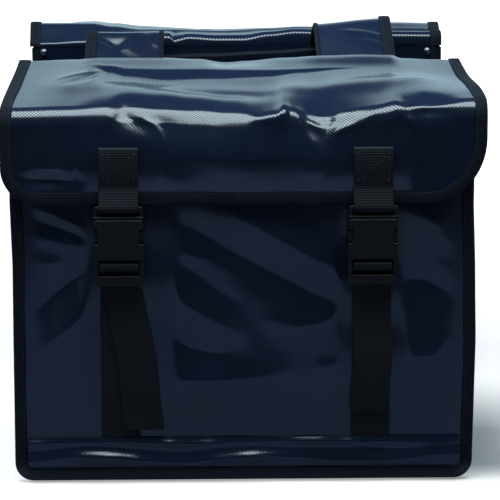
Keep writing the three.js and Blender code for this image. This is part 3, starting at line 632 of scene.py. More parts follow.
# flap: side profile corners (y, z, rounding), then (x, value) lines and the swells and creases on it
flap = {
    "near": [(-76.5, 322, 0), (-76.5, 332.4, 9), (-247, 314, 15), (-251, 238.5, 0)],
    "far": [(-76.5, 322, 0), (-76.5, 325.5, 3.5), (-103, 339, 20), (-247, 314, 15), (-251, 238.5, 0)],
    "halfBack": 189.6, "halfFront": 196.4, "corner": {"left": 30.0, "right": 48.0},
    "rows": 180, "columns": 207, "closeRows": [0.6, 1.4, 2.6, 4.4, 6.6, 9.2, 12.4],
    "crown": 3.0, "calmSide": 40.0, "calmBack": (6.0, 40.0), "calmLow": 25.0,
    "strapHalf": 19, "strapMargin": 26, "evenFrom": 4, "evenOver": 22, "bellyCurve": 1.6,
    "sidePoints": 90, "cornerPoints": 16, "lowPoints": 110, "linePoints": 60, "roundPoints": 24,
    # where each rise of a lid begins and how long it takes
    "rise": {
        "lift": (60, 90), "ridge": (19, 19), "ridgeFrom": (5, 9), "onto": (8, 22), "farRidge": 5,
        "farBack": (30, 28), "inside": (40, 40), "side": (180, 30), "wave": (0.5, 29, 40), "crest": 90,
        "farOut": (60, 60),
    },
    # the fold in front: how far it sags, how far that reaches down and up, its rise and its tightness
    "sag": [(-190, 0), (-142, 0), (-112, -2.0), (-97, -6.8), (-84, -6.4), (-68, -7.6), (-47, -6.0),
            (-28, -5.4), (-8, -3.8), (10, -2.0), (21, -0.8), (31, 0.8), (40, -2.4), (52, -6.2), (66, -6.6),
            (78, -2.8), (94, -1.2), (122, 0.8), (136, -3.0), (152, -6.0), (190, -6.0)],
    "sagLow": [(-190, 11), (-112, 11), (-94, 18), (-80, 20), (-64, 19), (-47, 16), (-28, 15), (-8, 13),
               (10, 11), (31, 10), (42, 14), (54, 18), (66, 18), (78, 13), (94, 10), (125, 9), (190, 9)],
    "sagUp": [(-190, 14), (-112, 14), (-97, 20), (-64, 20), (-28, 17), (4, 16), (22, 19), (44, 24),
              (118, 22), (140, 15), (190, 14)],
    "lift": [(-190, 0), (-142, 0), (-112, 2.4), (-93, 4.0), (-68, 2.4), (-40, 0.2), (-10, -2.2), (14, -4.2),
             (25, -3.0), (35, 1.0), (44, 0.6), (66, -2.6), (84, -1.0), (108, 0.4), (128, 3.5), (150, 6.0),
             (190, 6.5)],
    "pinch": [(-190, 0), (2, 0), (14, 1.9), (27, 1.9), (38, 0), (118, 0), (134, 1.6), (150, 3.4), (190, 3.4)],
    "pinchWidth": 5.0,
    # the swell of the front drop
    "belly": 4.8, "bellyRise": 0.5, "bellyFrom": 0.4, "bellyEnd": 0.857,
    "bellyTop": [(-190, 0.2), (-92, 0.16), (-64, 0.04), (-36, -0.06), (-8, 0.05), (34, -0.05), (58, 0.1),
                 (74, -0.1), (92, 0.12), (190, 0.2)],
    "bellyAcross": [(-200, 0.1), (-126, 0.2), (-96, 0.6), (-76, 1), (70, 1), (104, 0.7), (130, 0.1),
                    (200, 0.1)],
    "ripple": {"base": 0.9, "rows": [(0.5, 31, 0.4), (0.4, 17, 0)], "grow": 60.0},
    # the long valley across the top
    "valley": {
        "from": 51.0, "waver": [(2.6, 37, 1.0), (1.4, 16, 0)], "end": 150.0, "runOut": 66.0, "steep": -0.205,
        "wide": [(-190, 2), (-124, 2), (-112, 10), (-96, 18), (-64, 25), (-24, 22), (22, 15), (50, 9),
                 (86, 5), (110, 2), (190, 2)],
        "across": [(-200, 0), (-128, 0), (-112, 1), (60, 1), (110, 0), (200, 0)],
    },
    "pucker": {"x": -158.0, "s": 229.0, "length": 19.0, "width": 6.5, "out": -4.2},
    # how the back edge of each lid stands up
    "ridge": [(-190, 0), (-140, 1.5), (-124, 3.2), (-72, 3.0), (-36, 1.5), (-11, -2.2), (4, -0.5), (40, 2.5),
              (74, 4.5), (108, 5.4), (129, 5.0), (142, 1.5), (168, 0.4), (190, 0)],
    "farRidge": [(-190, 5.0), (-120, 5.5), (-55, 8.0), (-31, 5.6), (-6, 2.0), (16, 2.0), (45, 3.6), (52, 2.0),
                 (57, 0.6), (62, 4.4), (75, 3.6), (90, 1.5), (112, 2.2), (145, 0.4), (170, -0.8),
                 (190, -1.2)],
    "farCrest": [(-190, -5.4), (-150, -5.0), (-112, -3.0), (-58, -2.2), (-31, -3.7), (11, -5.4), (69, -4.0),
                 (88, -4.0), (114, -1.0), (135, 1.8), (190, 1.8)],
    "farBack": [(-190, 6.8), (-150, 7.2), (-115, 5.0), (-75, 0), (190, 0)],
    "folds": rowsOf("x s turn length width out", [
        (70, 178, 72, 45, 20, -2),
        (-62, 214, 60, 30, 20, -2),
        (95, 108, -10, 80, 20, 3),
        (-115, 112, 12, 60, 20, 1.4),
        (-20, 122, 8, 45, 12, -2.4),
    ]),
    "creases": rowsOf("out width line", [
        (1.0, 5, [(-162, 92), (-142, 74), (-114, 50)]),
        (-1.1, 5, [(-154, 112), (-134, 88), (-114, 54)]),
        (0.9, 5, [(-132, 116), (-122, 88), (-112, 54)]),
        (1.0, 4, [(-130, 34), (-118, 44), (-98, 46)]),
        (1.4, 5, [(33, 170), (52, 181), (74, 192)]),
        (1.3, 5, [(40, 176), (50, 190), (62, 208)]),
        (1.2, 6, [(118, 168), (96, 182), (74, 198)]),
        (-1.7, 6, [(-99, 156), (-95, 176), (-92, 194)]),
        (1.1, 6, [(-84, 170), (-80, 188), (-68, 210)]),
        (0.9, 4, [(128, 168), (131, 184), (127, 200)]),
        (2.0, 6, [(-182, 224), (-150, 220), (-110, 242)]),
        (-1.6, 6, [(-184, 233), (-148, 236), (-110, 250)]),
        (1.3, 5, [(-134, 204), (-122, 216), (-108, 238)]),
    ]),
}


def flapLine(profile):  # the rounded side profile, point by point with its outward direction
    rows = []
    corners = [np.array(c[:2], float) for c in profile]
    begin = corners[0]
    for i in range(1, len(corners)):
        into = (corners[i] - corners[i - 1]) / np.linalg.norm(corners[i] - corners[i - 1])
        last = i + 1 == len(corners)
        on = into if last else (corners[i + 1] - corners[i]) / np.linalg.norm(corners[i + 1] - corners[i])
        radius = profile[i][2]
        turn = math.atan2(into[0] * on[1] - into[1] * on[0], into @ on)
        stop = corners[i] - into * abs(radius * math.tan(turn / 2))
        out = np.array([into[1], -into[0]])
        for t in np.linspace(0, 1, flap["linePoints"], endpoint=last):
            rows.append((*lerp(begin, stop, t), *out))
        centre = stop - out * radius
        for t in np.linspace(0, 1, flap["roundPoints"], endpoint=False) if not last else []:
            c, s = math.cos(turn * t), math.sin(turn * t)
            n = np.array([out[0] * c - out[1] * s, out[0] * s + out[1] * c])
            rows.append((*(centre + n * radius), *n))
        begin = centre + np.array([on[1], -on[0]]) * radius
    rows = np.array(rows)
    return np.column_stack([runLength(rows[:, :2]), rows])


def foldPlace(rows, lean):  # where along the profile the cloth first faces forward by that much
    return rows[np.argmax(rows[:, 3] < -lean), 0]


flapRows, farRows = flapLine(flap["near"]), flapLine(flap["far"])
flapLength = flapRows[-1, 0]
foldS, foldMid, farMid = foldPlace(flapRows, 0.95), foldPlace(flapRows, 0.7), foldPlace(farRows, 0.7)
farRows[:, 0] = np.where(farRows[:, 0] < farMid, farRows[:, 0] * foldMid / farMid,
                         farRows[:, 0] - farMid + foldMid)  # both lids fold at the same place


def flapWidest(s):
    return lerp(flap["halfBack"], flap["halfFront"], ease(s / foldS))


def flapHalf(s, side):
    radius = flap["corner"][side]
    low = np.clip(radius - (flapLength - s), 0, radius)
    return flapWidest(s) - (radius - np.sqrt(radius ** 2 - low ** 2))


def flapOut(x, s):
    x, s = np.broadcast_arrays(np.asarray(x, float), np.asarray(s, float))
    spans = [(strap["x"] - flap["strapHalf"], strap["x"] + flap["strapHalf"]) for strap in strapRows]
    even = lerp(x, evenUnder(x, spans, flap["strapMargin"]),
                ease((s - foldS + flap["evenFrom"]) / flap["evenOver"]))
    half = np.where(x < 0, flapHalf(s, "left"), flapHalf(s, "right"))
    inX = ease((half - bag["edgeCalm"] - np.abs(even)) / flap["calmSide"])
    inS = grows(s, *flap["calmBack"]) * fades(s, flapLength - bag["edgeCalm"], flap["calmLow"])
    crown = flap["crown"] * np.sin(math.pi * np.clip(s / foldS, 0, 1))
    drop = (s - foldS) / (flapLength - foldS)
    top = flap["bellyFrom"] + easedLine(even, flap["bellyTop"])
    low = np.clip((drop - top) / (flap["bellyEnd"] - top), 0, 1)
    runOut = 1 - low ** flap["bellyCurve"]  # at the edge tape
    belly = flap["belly"] * ease(drop / flap["bellyRise"]) * runOut * easedLine(even, flap["bellyAcross"])
    reach = np.where(s < foldMid, easedLine(even, flap["sagUp"]), easedLine(even, flap["sagLow"]))
    sag = easedLine(even, flap["sag"]) * hump(s, foldMid, reach)
    pinch = easedLine(even, flap["pinch"]) * hump(s, foldMid, flap["pinchWidth"])
    dip = flap["valley"]
    wide, begin = easedLine(x, dip["wide"]), dip["from"] + waves(x, *dip["waver"])
    valley = dip["steep"] * wide * grows(s, begin, wide) * fades(s, dip["end"], dip["runOut"])
    valley = valley * easedLine(x, dip["across"])
    detail = foldField(flap["folds"], even, s) + creaseField(flap["creases"], even, s)
    dent, ripple = flap["pucker"], flap["ripple"]
    pucker = dent["out"] * hump(x, dent["x"], dent["length"]) * hump(s, dent["s"], dent["width"])
    wave = (ripple["base"] + waves(even, *ripple["rows"])) * grows(s, foldS, ripple["grow"])
    return inX * inS * (crown + sag + pinch + valley + detail) + inX * belly + pucker + wave


def backRise(x, s, side):  # how a lid stands up: out from the cloth, and straight up
    x, s = np.broadcast_arrays(np.asarray(x, float), np.asarray(s, float))
    rise = flap["rise"]
    if side == "near":
        down = np.clip((flapLength - s) / (flapLength - foldMid), 0, 1)
        lift = easedLine(x, flap["lift"]) * np.where(s < foldMid, grows(s, *rise["lift"]), down)
        return easedLine(x, flap["ridge"]) * hump(s, *rise["ridge"]) * grows(s, *rise["ridgeFrom"]), lift
    onto = grows(s, *rise["onto"])  # from the ridge onto the top
    ridge = easedLine(x, flap["farRidge"]) * ease(s / rise["farRidge"]) * (1 - onto)
    crest = easedLine(x, flap["farCrest"]) * onto + easedLine(x, flap["farBack"]) * grows(s, *rise["farBack"])
    inside = grows(s, *rise["inside"]) * fades(s, foldMid, rise["inside"][1])
    inside = inside * fades(np.abs(x), *rise["side"])
    height, alongX, alongS = rise["wave"]
    return height * np.sin(x / alongX + s / alongS) * inside, ridge + crest * fades(s, foldMid, rise["crest"])


def flapPoint(x, s, out, up=0.0, rows=flapRows):  # a point that stands off the flap's outer face line
    x, s, out, up = np.broadcast_arrays(*(np.asarray(part, float) for part in (x, s, out, up)))
    y, z, ny, nz = (np.interp(s, rows[:, 0], rows[:, i]) for i in range(1, 5))
    size = np.hypot(ny, nz)
    return np.stack([x, y + ny / size * out, z + nz / size * out + up], -1)


def lidPoint(x, s, side, off=0.0):  # on the cloth of one bag's lid
    out, up = backRise(x, s, side)
    if side == "far":
        return flapPoint(x, s, flapOut(x, s) * grows(s, *flap["rise"]["farOut"]) + out + off, up, farRows)
    return flapPoint(x, s, flapOut(x, s) + out + off, up)


def flapPiece(side):
    s = np.linspace(0, flapLength, flap["rows"])
    s = np.unique(np.concatenate([s, flapLength - np.array(flap["closeRows"])]))
    u = np.linspace(-1, 1, flap["columns"])
    x = np.where(u < 0, u * flapHalf(s, "left")[:, None], u * flapHalf(s, "right")[:, None])
    cut = np.stack(np.broadcast_arrays(x, s[:, None]), -1)
    grid = lidPoint(x, s[:, None], side)
    return sheetPiece(side + "Flap", grid, bag["cloth"], cut, tarpaulin, (0, 0, 1), side)


def flapEdge():  # left edge down, lower edge, right edge up, each point with its in-cloth outward direction
    def half(sign, side):
        radius = flap["corner"][side]
        bend = np.radians(np.linspace(0, 90, flap["cornerPoints"]))[1:]
        turn = np.concatenate([np.zeros(flap["sidePoints"]), bend])
        s = np.concatenate([np.linspace(0, flapLength - radius, flap["sidePoints"]),
                            flapLength - radius * (1 - np.sin(bend))])
        shrink = radius * (1 - np.cos(turn))
        return np.stack([sign * (flapWidest(s) - shrink), s, sign * np.cos(turn), np.sin(turn)], -1)

    left, right = half(-1, "left"), half(1, "right")[::-1]
    x = np.linspace(left[-1, 0], right[0, 0], flap["lowPoints"])[1:-1]
    none = np.zeros(len(x))
    return np.concatenate([left, np.stack([x, none + flapLength, none, none + 1], -1), right])


def flapRim(side):  # the cloth's middle along its edge, with the outward and normal directions in space
    x, s, outX, outS = flapEdge().T
    ny, nz = (np.interp(s, flapRows[:, 0], flapRows[:, i]) for i in (3, 4))
    size = np.hypot(ny, nz)
    ny, nz = ny / size, nz / size
    outward = np.stack([outX, outS * -nz, outS * ny], -1)
    return lidPoint(x, s, side, -bag["cloth"] / 2), outward, np.stack([np.zeros(len(s)), ny, nz], -1)


def flapTapePiece(side):
    section = tapeSection(bag["cloth"], bag["tapeReach"], bag["tapeReach"])
    return tapePiece(side + "FlapBinding", *flapRim(side), section, side)


def edgeTapePiece(name, stations, y, face, side):
    x, z, nx, nz, _ = stations.T
    middle = np.stack([x, np.full(len(x), y), z], -1)
    outward = np.stack([nx, np.zeros(len(x)), nz], -1)
    normal = np.tile([0.0, face, 0.0], (len(x), 1))
    section = tapeSection(seamStack, bag["tapeReach"], bag["flangeReach"])
    return tapePiece(side + name, middle, outward, normal, section, side)


# base strip: how far the two rolls of the sewn band stand out along it, and how they sway
baseStrip = {
    "rows": 24, "columns": 181, "standOff": 4.8, "standFrom": (-0.04, 0.16), "rollFrom": 0.1,
    "pucker": {"fine": 0.5, "pitch": 7.5, "drift": 2, "driftPitch": 47, "broad": 0.4, "broadPitch": 17,
               "slant": 6},
    "welt": {"out": 2.3, "at": 0.84, "width": 0.11, "sway": (0.03, 27, 0), "line": [
        (-190, 0.6), (-172, 0.92), (-150, 0.5), (-74, 0.6), (-62, 1.02), (-52, 0.8), (-30, 0.98), (-10, 0.4),
        (30, 0.5), (46, 0.96), (60, 1.04), (76, 0.85), (86, 1.0), (98, 0.4), (190, 0.2)]},
    "roll": {"out": 3.2, "at": 0.32, "width": 0.16, "sway": (0.09, 24, 0.7), "line": [
        (-190, 0.4), (-146, 0.55), (-132, 1.0), (-114, 1.08), (-96, 0.92), (-78, 0.5), (-34, 0.6), (-24, 1.0),
        (-10, 0.86), (6, 1.06), (20, 0.9), (40, 0.5), (90, 0.5), (190, 0.3)]},
}


def baseStripPiece(side):
    def rolled(x, t, roll):
        middle = roll["at"] + waves(x, roll["sway"])
        return roll["out"] * easedLine(x, roll["line"]) * hump(t, middle, roll["width"])

    inset = bag["tapeReach"] + 4 * bag["gap"]
    z = np.linspace(bag["bottom"] + inset, bag["stripTop"], baseStrip["rows"])[:, None]
    u = np.linspace(-1, 1, baseStrip["columns"])
    x = np.where(u < 0, u * (sideHalf(z, "left") - inset), u * (sideHalf(z, "right") - inset))
    t = (z - z[0]) / (z[-1] - z[0])
    p = baseStrip["pucker"]
    pucker = p["fine"] * np.sin(x / p["pitch"] + p["drift"] * np.sin(x / p["driftPitch"]))
    pucker = pucker + p["broad"] * np.sin(x / p["broadPitch"] + p["slant"] * t)
    welt, roll = rolled(x, t, baseStrip["welt"]), rolled(x, t, baseStrip["roll"])
    stand = baseStrip["standOff"] * (1 - t) * grows(t, *baseStrip["standFrom"])  # over the seam low down
    swell = welt + roll * ease(t / baseStrip["rollFrom"]) + stand
    out = np.maximum(swell + pucker * np.sin(math.pi * t) ** 2, 0)
    z = z + 0 * x
    grid = np.stack([x, bag["frontY"] - bag["gap"] - bag["stripCloth"] - out, z], -1)
    cut = np.stack([x, z], -1)
    return sheetPiece(side + "BaseStrip", grid, bag["stripCloth"], cut, smoothSheet, (0, -1, 0), side)


def smoothPath(points, step=1.5):  # a rounded line through the points, evenly spaced
    def slope(before, after, span):  # held in, so that close points aren't overshot
        pull = (after - before) / 2
        return pull * min(1, span / max(np.linalg.norm(pull), 1e-6))

    points = np.asarray(points, float)
    ends = np.concatenate([[2 * points[0] - points[1]], points, [2 * points[-1] - points[-2]]])
    t = np.linspace(0, 1, 14, endpoint=False)[:, None]
    fine = []
    for i in range(1, len(ends) - 2):
        a, b, c, d = ends[i - 1:i + 3]
        span = np.linalg.norm(c - b)
        leave, arrive = slope(a, c, span), slope(b, d, span)
        fine.append((2 * t ** 3 - 3 * t ** 2 + 1) * b + (t ** 3 - 2 * t ** 2 + t) * leave
                    + (-2 * t ** 3 + 3 * t ** 2) * c + (t ** 3 - t ** 2) * arrive)
    fine = np.concatenate([*fine, points[-1:]])
    length = runLength(fine)
    even = np.linspace(0, length[-1], int(length[-1] / step) + 2)
    return np.stack([np.interp(even, length, fine[:, i]) for i in range(3)], -1), even


# webbing: half its section, from the middle to a raised selvedge
webbing = {
    "across": [0.2, 0.6, 0.88, 0.94, 0.985, 1], "lift": [0.92, 0.9, 0.86, 1.0, 0.8, 0.35],
    "ripple": [(0.006, 7.0, 0), (0.006, 17.0, 2)],
}


def webbingPiece(name, points, width, side):
    path, length = smoothPath(points)
    along = np.gradient(path, axis=0)
    along[:, 0] = 0
    along /= np.linalg.norm(along, axis=1, keepdims=True)
    normal = np.stack([np.zeros(len(path)), -along[:, 2], along[:, 1]], -1)
    u, lift = np.array(webbing["across"]), np.array(webbing["lift"]) * bag["webbing"] / 2
    u, lift = np.concatenate([-u[::-1], u]), np.concatenate([lift[::-1], lift])
    across = np.concatenate([u, u[::-1]]) * width / 2
    height = np.concatenate([lift, -lift[::-1]])
    edge = 1 + waves(length, *webbing["ripple"])
    rings = path[:, None] + normal[:, None] * height[:, None]
    rings[:, :, 0] += across * edge[:, None]
    cut = np.stack(np.broadcast_arrays(across[None], length[:, None]), -1)
    return sweptPiece(name, rings, cut, belt, side), length[-1]


# buckle: v up from its lower bar, w out from its middle plane
buckle = {
    "barZ": 175.0, "half": 20.25, "thick": 8.4, "frameThick": 6.8, "bottom": -4.6, "top": 52.0,
    "slot": (4.4, 17.6), "slotHalf": 16.9, "crossBar": 12.0, "maleBar": 61.0, "maleTop": 62.6,
    "plate": 3.2, "wrap": 3.5, "standOff": 3.9, "pocketHalf": 17.4, "pocket": (23.0, 58.0),
    "notch": (31.5, 43.5), "tab": (33.0, 42.0), "arm": (12.0, 17.0), "armEnd": 26.0, "tongueHalf": 5.0,
    "housingLow": 19, "frameTop": 22, "bar": (-18, 18, 10.4, 13.6), "barThick": 3.2,
    "pocketThick": 3.8, "bevel": 0.9,
}


def buckleSpace(strap):  # the lower bar's middle, with the buckle's own up and out directions
    x = strap["x"]
    outLow = float(panelOut(x, buckle["barZ"])) + bag["gap"] + bag["webbing"] / 2
    outLow += buckle["thick"] / 2 + buckle["standOff"]
    outHigh = bag["frontY"] - flapRows[-1, 1] + bag["tape"] + 2 * bag["gap"] + bag["webbing"] / 2
    outHigh += buckle["wrap"] + 0.2 + float(flapOut(x, flapLength))
    tilt = math.atan2(outHigh - outLow, buckle["maleBar"])
    up = np.array([0, -math.sin(tilt), math.cos(tilt)])
    out = np.array([0, -math.cos(tilt), -math.sin(tilt)])
    return np.array([x, bag["frontY"] - outLow, buckle["barZ"]]), up, out


def buckleLine(strap, spots, lean=None):  # points given as (v, w), lean is another outward direction
    origin, up, out = buckleSpace(strap)
    out = out if lean is None else lean
    return [origin + up * v + out * w for v, w in spots]


def barArc(strap, centre, begin, end, steps, lean=None):
    angle = np.radians(np.linspace(begin, end, steps + 1))
    wrap = buckle["wrap"]
    return buckleLine(strap, [(centre + wrap * math.sin(a), wrap * math.cos(a)) for a in angle], lean)


flapStrap = {"top": 283.0, "rows": 14, "end": 9.0, "tuck": 12.0, "box": (3.5, 25.0), "boxIn": 3.5,
             "overFrom": 7, "overRun": 5}


def flapStrapPoints(strap):  # down the flap, round the buckle's upper bar and back up behind
    thick, gap = bag["webbing"], bag["gap"]

    def onFlap(s, layer):
        overTape = (bag["tape"] + gap) * ease(
            (s - flapLength + bag["tapeReach"] + flapStrap["overFrom"]) / flapStrap["overRun"])
        off = overTape + gap + thick / 2 + layer * (thick + gap)
        return flapPoint(strap["x"], s, flapOut(strap["x"], s) + off)

    drop = flapRows[flapRows[:, 0] > foldS]
    first = np.interp(-flapStrap["top"], -drop[:, 2], drop[:, 0])
    down = np.linspace(first, flapLength - flapStrap["end"], flapStrap["rows"])
    low, high = onFlap(first, 0), onFlap(first, 1)
    middle, reach = (low + high) / 2, np.linalg.norm(high - low) / 2
    out, up = (high - low) / (2 * reach), np.array([0, 0, 1])
    turn = np.radians([-60, -30, 0, 30, 60])
    over = [middle + reach * (out * math.sin(a) + up * math.cos(a)) for a in turn]
    begin = [onFlap(s, 0) for s in np.linspace(first + flapStrap["tuck"], first, 4)]
    front = [onFlap(s, 1) for s in down[:-1]]
    behind = [onFlap(s, 0) for s in down[::-1] if s > first + flapStrap["tuck"] + 2]
    loop = barArc(strap, buckle["maleBar"], 0, -180, 10, out)  # turned with the lid, not the buckle
    return np.array(begin + over + front + loop + behind)


lowerStrap = {
    "up": [(1, -7.5), (6.5, -7.1)],
    "down": [(9.2, 3), (7.8, 0.6), (7.2, -3), (5, -5.3), (0, -5.5)],
    "heights": [50, 65, 78, 92, 106, 120, 136, 152],
    "looseFrom": 150.0, "swaySlant": (0.8, 13, 0), "swayPlumb": (1.6, 17, 1), "curl": (0.9, 15, 0),
    "curlOut": 1.2, "curlOver": 60, "swayOver": 40, "fallCurve": 0.62, "slack": 0.1, "below": 6, "endRoom": 6,
}


def lowerStrapPoints(strap, drift):  # up from the base seam, round the bar and down as a loose tail
    first = bag["gap"] + bag["webbing"] / 2
    second = first + bag["webbing"] + bag["gap"] + lowerStrap["slack"]
    below = buckle["barZ"] + buckle["bottom"] - lowerStrap["below"]

    def on(z, off, shift=0):
        return np.array([strap["x"] + shift, bag["frontY"] - float(panelOut(strap["x"], z)) - off, z])

    def shiftAt(z):
        fall = max(0.0, (below - z) / (below - strap["tailEnd"]))
        sway = waves(z, lowerStrap["swaySlant"] if drift else lowerStrap["swayPlumb"])
        loose = float(fades(z, lowerStrap["looseFrom"], lowerStrap["swayOver"]))
        return drift * fall ** lowerStrap["fallCurve"] + sway * loose

    path = [on(z, first) for z in [bag["stripTop"] + bag["gap"], *lowerStrap["heights"]]]
    path += buckleLine(strap, lowerStrap["up"])
    path += barArc(strap, buckle["crossBar"], 195, 0, 9)
    path += buckleLine(strap, lowerStrap["down"])
    tail = [z for z in lowerStrap["heights"][::-1] if z > strap["tailEnd"] + lowerStrap["endRoom"]]
    for z in tail + [strap["tailEnd"]]:
        free = float(fades(z, lowerStrap["looseFrom"], lowerStrap["curlOver"]))
        path.append(on(z, second + free * (lowerStrap["curlOut"] + waves(z, lowerStrap["curl"])), shiftAt(z)))
    return np.array(path)


def roundedLoop(corners, steps=5):  # corners are (across, up, rounding)
    loop = []
    for i, (x, y, r) in enumerate(corners):
        here = np.array([x, y], float)
        back = np.array(corners[i - 1][:2], float) - here
        on = np.array(corners[(i + 1) % len(corners)][:2], float) - here
        back, on = back / np.linalg.norm(back), on / np.linalg.norm(on)
        for t in np.linspace(0, 1, steps):
            loop.append(here + back * r * (1 - t) ** 2 + on * r * t ** 2)
    return np.array(loop)


def rectangle(low, high, bottom, top, r):
    return roundedLoop([(low, bottom, r), (high, bottom, r), (high, top, r), (low, top, r)])


def mirroredLoop(right):  # a right-hand half outline, from the bottom up, and its mirror
    return roundedLoop(right + [(-x, y, r) for x, y, r in right[::-1]])


def evaluatedMesh(drawn):
    return bpy.data.meshes.new_from_object(drawn.evaluated_get(bpy.context.evaluated_depsgraph_get()))


def plateObject(name, loops, thick, bevel):  # a filled outline with holes, thickened with round edges
    curve = bpy.data.curves.new(name, "CURVE")
    curve.dimensions, curve.fill_mode = "2D", "BOTH"
    for loop in loops:
        line = curve.splines.new("POLY")
        line.points.add(len(loop) - 1)
        flat = np.column_stack([loop * mm, np.zeros(len(loop)), np.ones(len(loop))])
        line.points.foreach_set("co", flat.ravel())
        line.use_cyclic_u = True
    curve.extrude, curve.bevel_depth, curve.bevel_resolution = (thick / 2 - bevel) * mm, bevel * mm, 2
    curve.offset = -bevel * mm
    drawn = addObject(name, curve)
    mesh = evaluatedMesh(drawn)
    bpy.data.objects.remove(drawn)
    bpy.data.curves.remove(curve)
    shape = bmesh.new()
    shape.from_mesh(mesh)
    bmesh.ops.remove_doubles(shape, verts=shape.verts, dist=2e-6)
    bmesh.ops.recalc_face_normals(shape, faces=shape.faces)
    shape.to_mesh(mesh)
    shape.free()
    return addObject(name, mesh)


def settled(piece):  # modifiers become plain mesh
    mesh = evaluatedMesh(piece)
    piece.modifiers.clear()
    old, piece.data = piece.data, mesh
    bpy.data.meshes.remove(old)
    return piece


def joined(piece, tools):  # solids added to or cut from a piece
    for way, tool in tools:
        step = piece.modifiers.new("joint", "BOOLEAN")
        step.operation, step.object, step.solver = way, tool, "EXACT"
        settled(piece)
        bpy.data.objects.remove(tool)
    return piece


def femaleBuckle():
    h, n0, n1 = buckle["half"], *buckle["notch"]
    edge, wide = buckle["pocketHalf"] - 0.5, buckle["slotHalf"]
    housing = mirroredLoop([(h, buckle["housingLow"], 1.2), (h, n0, 0.9), (edge, n0, 0.9), (edge, n1, 0.9),
                            (h, n1, 0.9), (h, buckle["top"], 3.4)])
    rim = mirroredLoop([(h, buckle["bottom"], 3.6), (h, buckle["frameTop"], 1.0)])
    slot = rectangle(-wide, wide, *buckle["slot"], 1.4)
    pocket = rectangle(-buckle["pocketHalf"], buckle["pocketHalf"], *buckle["pocket"], 1.0)
    return joined(plateObject("femaleShape", [housing], buckle["thick"], buckle["bevel"]), [
        ("UNION", plateObject("adjusterFrame", [rim, slot], buckle["frameThick"], buckle["bevel"])),
        ("UNION", plateObject("adjusterBar", [rectangle(*buckle["bar"], 1.5)], buckle["barThick"], 1.2)),
        ("DIFFERENCE", plateObject("pocket", [pocket], buckle["pocketThick"], 0.2)),
    ])


def maleBuckle():
    h, wide, low = buckle["half"], buckle["slotHalf"], buckle["top"] + bag["gap"]
    (a0, a1), (t0, t1), tongue, root = buckle["arm"], buckle["tab"], buckle["tongueHalf"], low + 1.5
    slot = rectangle(-wide, wide, low + 2.4, buckle["maleBar"] - 1.6, 1.0)
    top = mirroredLoop([(h, low, 0.8), (h, buckle["maleTop"], 3.0)])
    blocks = rowsOf("name loop thick bevel", [
        ("shoulder", rectangle(-h + 0.2, h - 0.2, low, low + 2.3, 0.6), 6.2, 0.6),
        ("tongue", rectangle(-tongue, tongue, 30, root, 1.5), 3.1, 0.5),
        ("armRight", rectangle(a0, a1, buckle["armEnd"], root, 1.6), 3.1, 0.5),
        ("armLeft", rectangle(-a1, -a0, buckle["armEnd"], root, 1.6), 3.1, 0.5),
        ("tabRight", rectangle(a1 - 0.4, h - 0.2, t0, t1, 1.2), 5.4, 0.8),
        ("tabLeft", rectangle(-h + 0.2, -a1 + 0.4, t0, t1, 1.2), 5.4, 0.8),
    ])
    tools = [("UNION", plateObject(b["name"], [b["loop"]], b["thick"], b["bevel"])) for b in blocks]
    return joined(plateObject("maleShape", [top, slot], buckle["plate"], 0.7), tools)


def evenShaded(shape):
    smoothShade(shape.data, 50)
    shape.modifiers.new("evenShade", "WEIGHTED_NORMAL").keep_sharp = True
    return settled(shape)


def bucklePiece(name, shape, strap, side):
    origin, up, out = buckleSpace(strap)
    turn = -1 if side == "far" else 1
    place = Matrix(((turn, 0, 0, turn * origin[0] * mm),
                    (0, turn * up[1], turn * out[1], turn * origin[1] * mm),
                    (0, up[2], out[2], origin[2] * mm), (0, 0, 0, 1)))
    mesh = shape.data.copy()
    mesh.name = name
    mesh.transform(place)
    mesh.materials.clear()
    mesh.materials.append(plastic)
    return addObject(name, mesh)


# bridge: two wide arched straps over the rack and a thin tie between them
bridge = {
    "l": {
        "x": -100.5, "crest": 345.0, "tilt": 0.0, "lean": 24.0,
        "creases": rowsOf("out width line", [
            (4.0, 15, [(-90, 95), (-5, 97), (90, 98)]),
            (-4.4, 24, [(-90, 52), (-6, 52), (90, 52)]),
            (1.5, 4, [(31, 68), (24, 81), (15, 94)]),
        ]),
        "dent": {"x": -6.0, "top": 95.0, "fall": 23.0, "deep": 4.4, "wide": 33.0, "tip": 9.0, "slant": 0.22,
                 "edge": 16.0, "tail": 32.0, "tailWide": 16.0, "tailAside": 15.0, "tailEdge": 14.0},
    },
    "r": {
        "x": 102.5, "crest": 356.8, "tilt": 3.0, "lean": -7.0, "dent": None,
        "creases": rowsOf("out width line", [
            (1.3, 5, [(-20, 112), (8, 100), (40, 78)]),
            (1.1, 4, [(0, 92), (16, 80), (40, 60)]),
        ]),
    },
    "width": 66.0, "foot": 284.0, "shoulder": 322.0, "outerTape": 8.6, "innerTape": 2.6,
    "footRows": 14, "archRows": 81, "rows": 110, "columns": 41, "blunt": 0.012, "step": 0.2,
    "archEdge": 0.03, "wave": {"out": 0.5, "along": 19, "across": 15, "calm": 60, "half": 34},
    "tie": {"reach": 92.0, "width": 20.0, "leftZ": 314.0, "rightZ": 322.0, "sag": 1.2,
            "ripple": (0.25, 9, 0)},
}


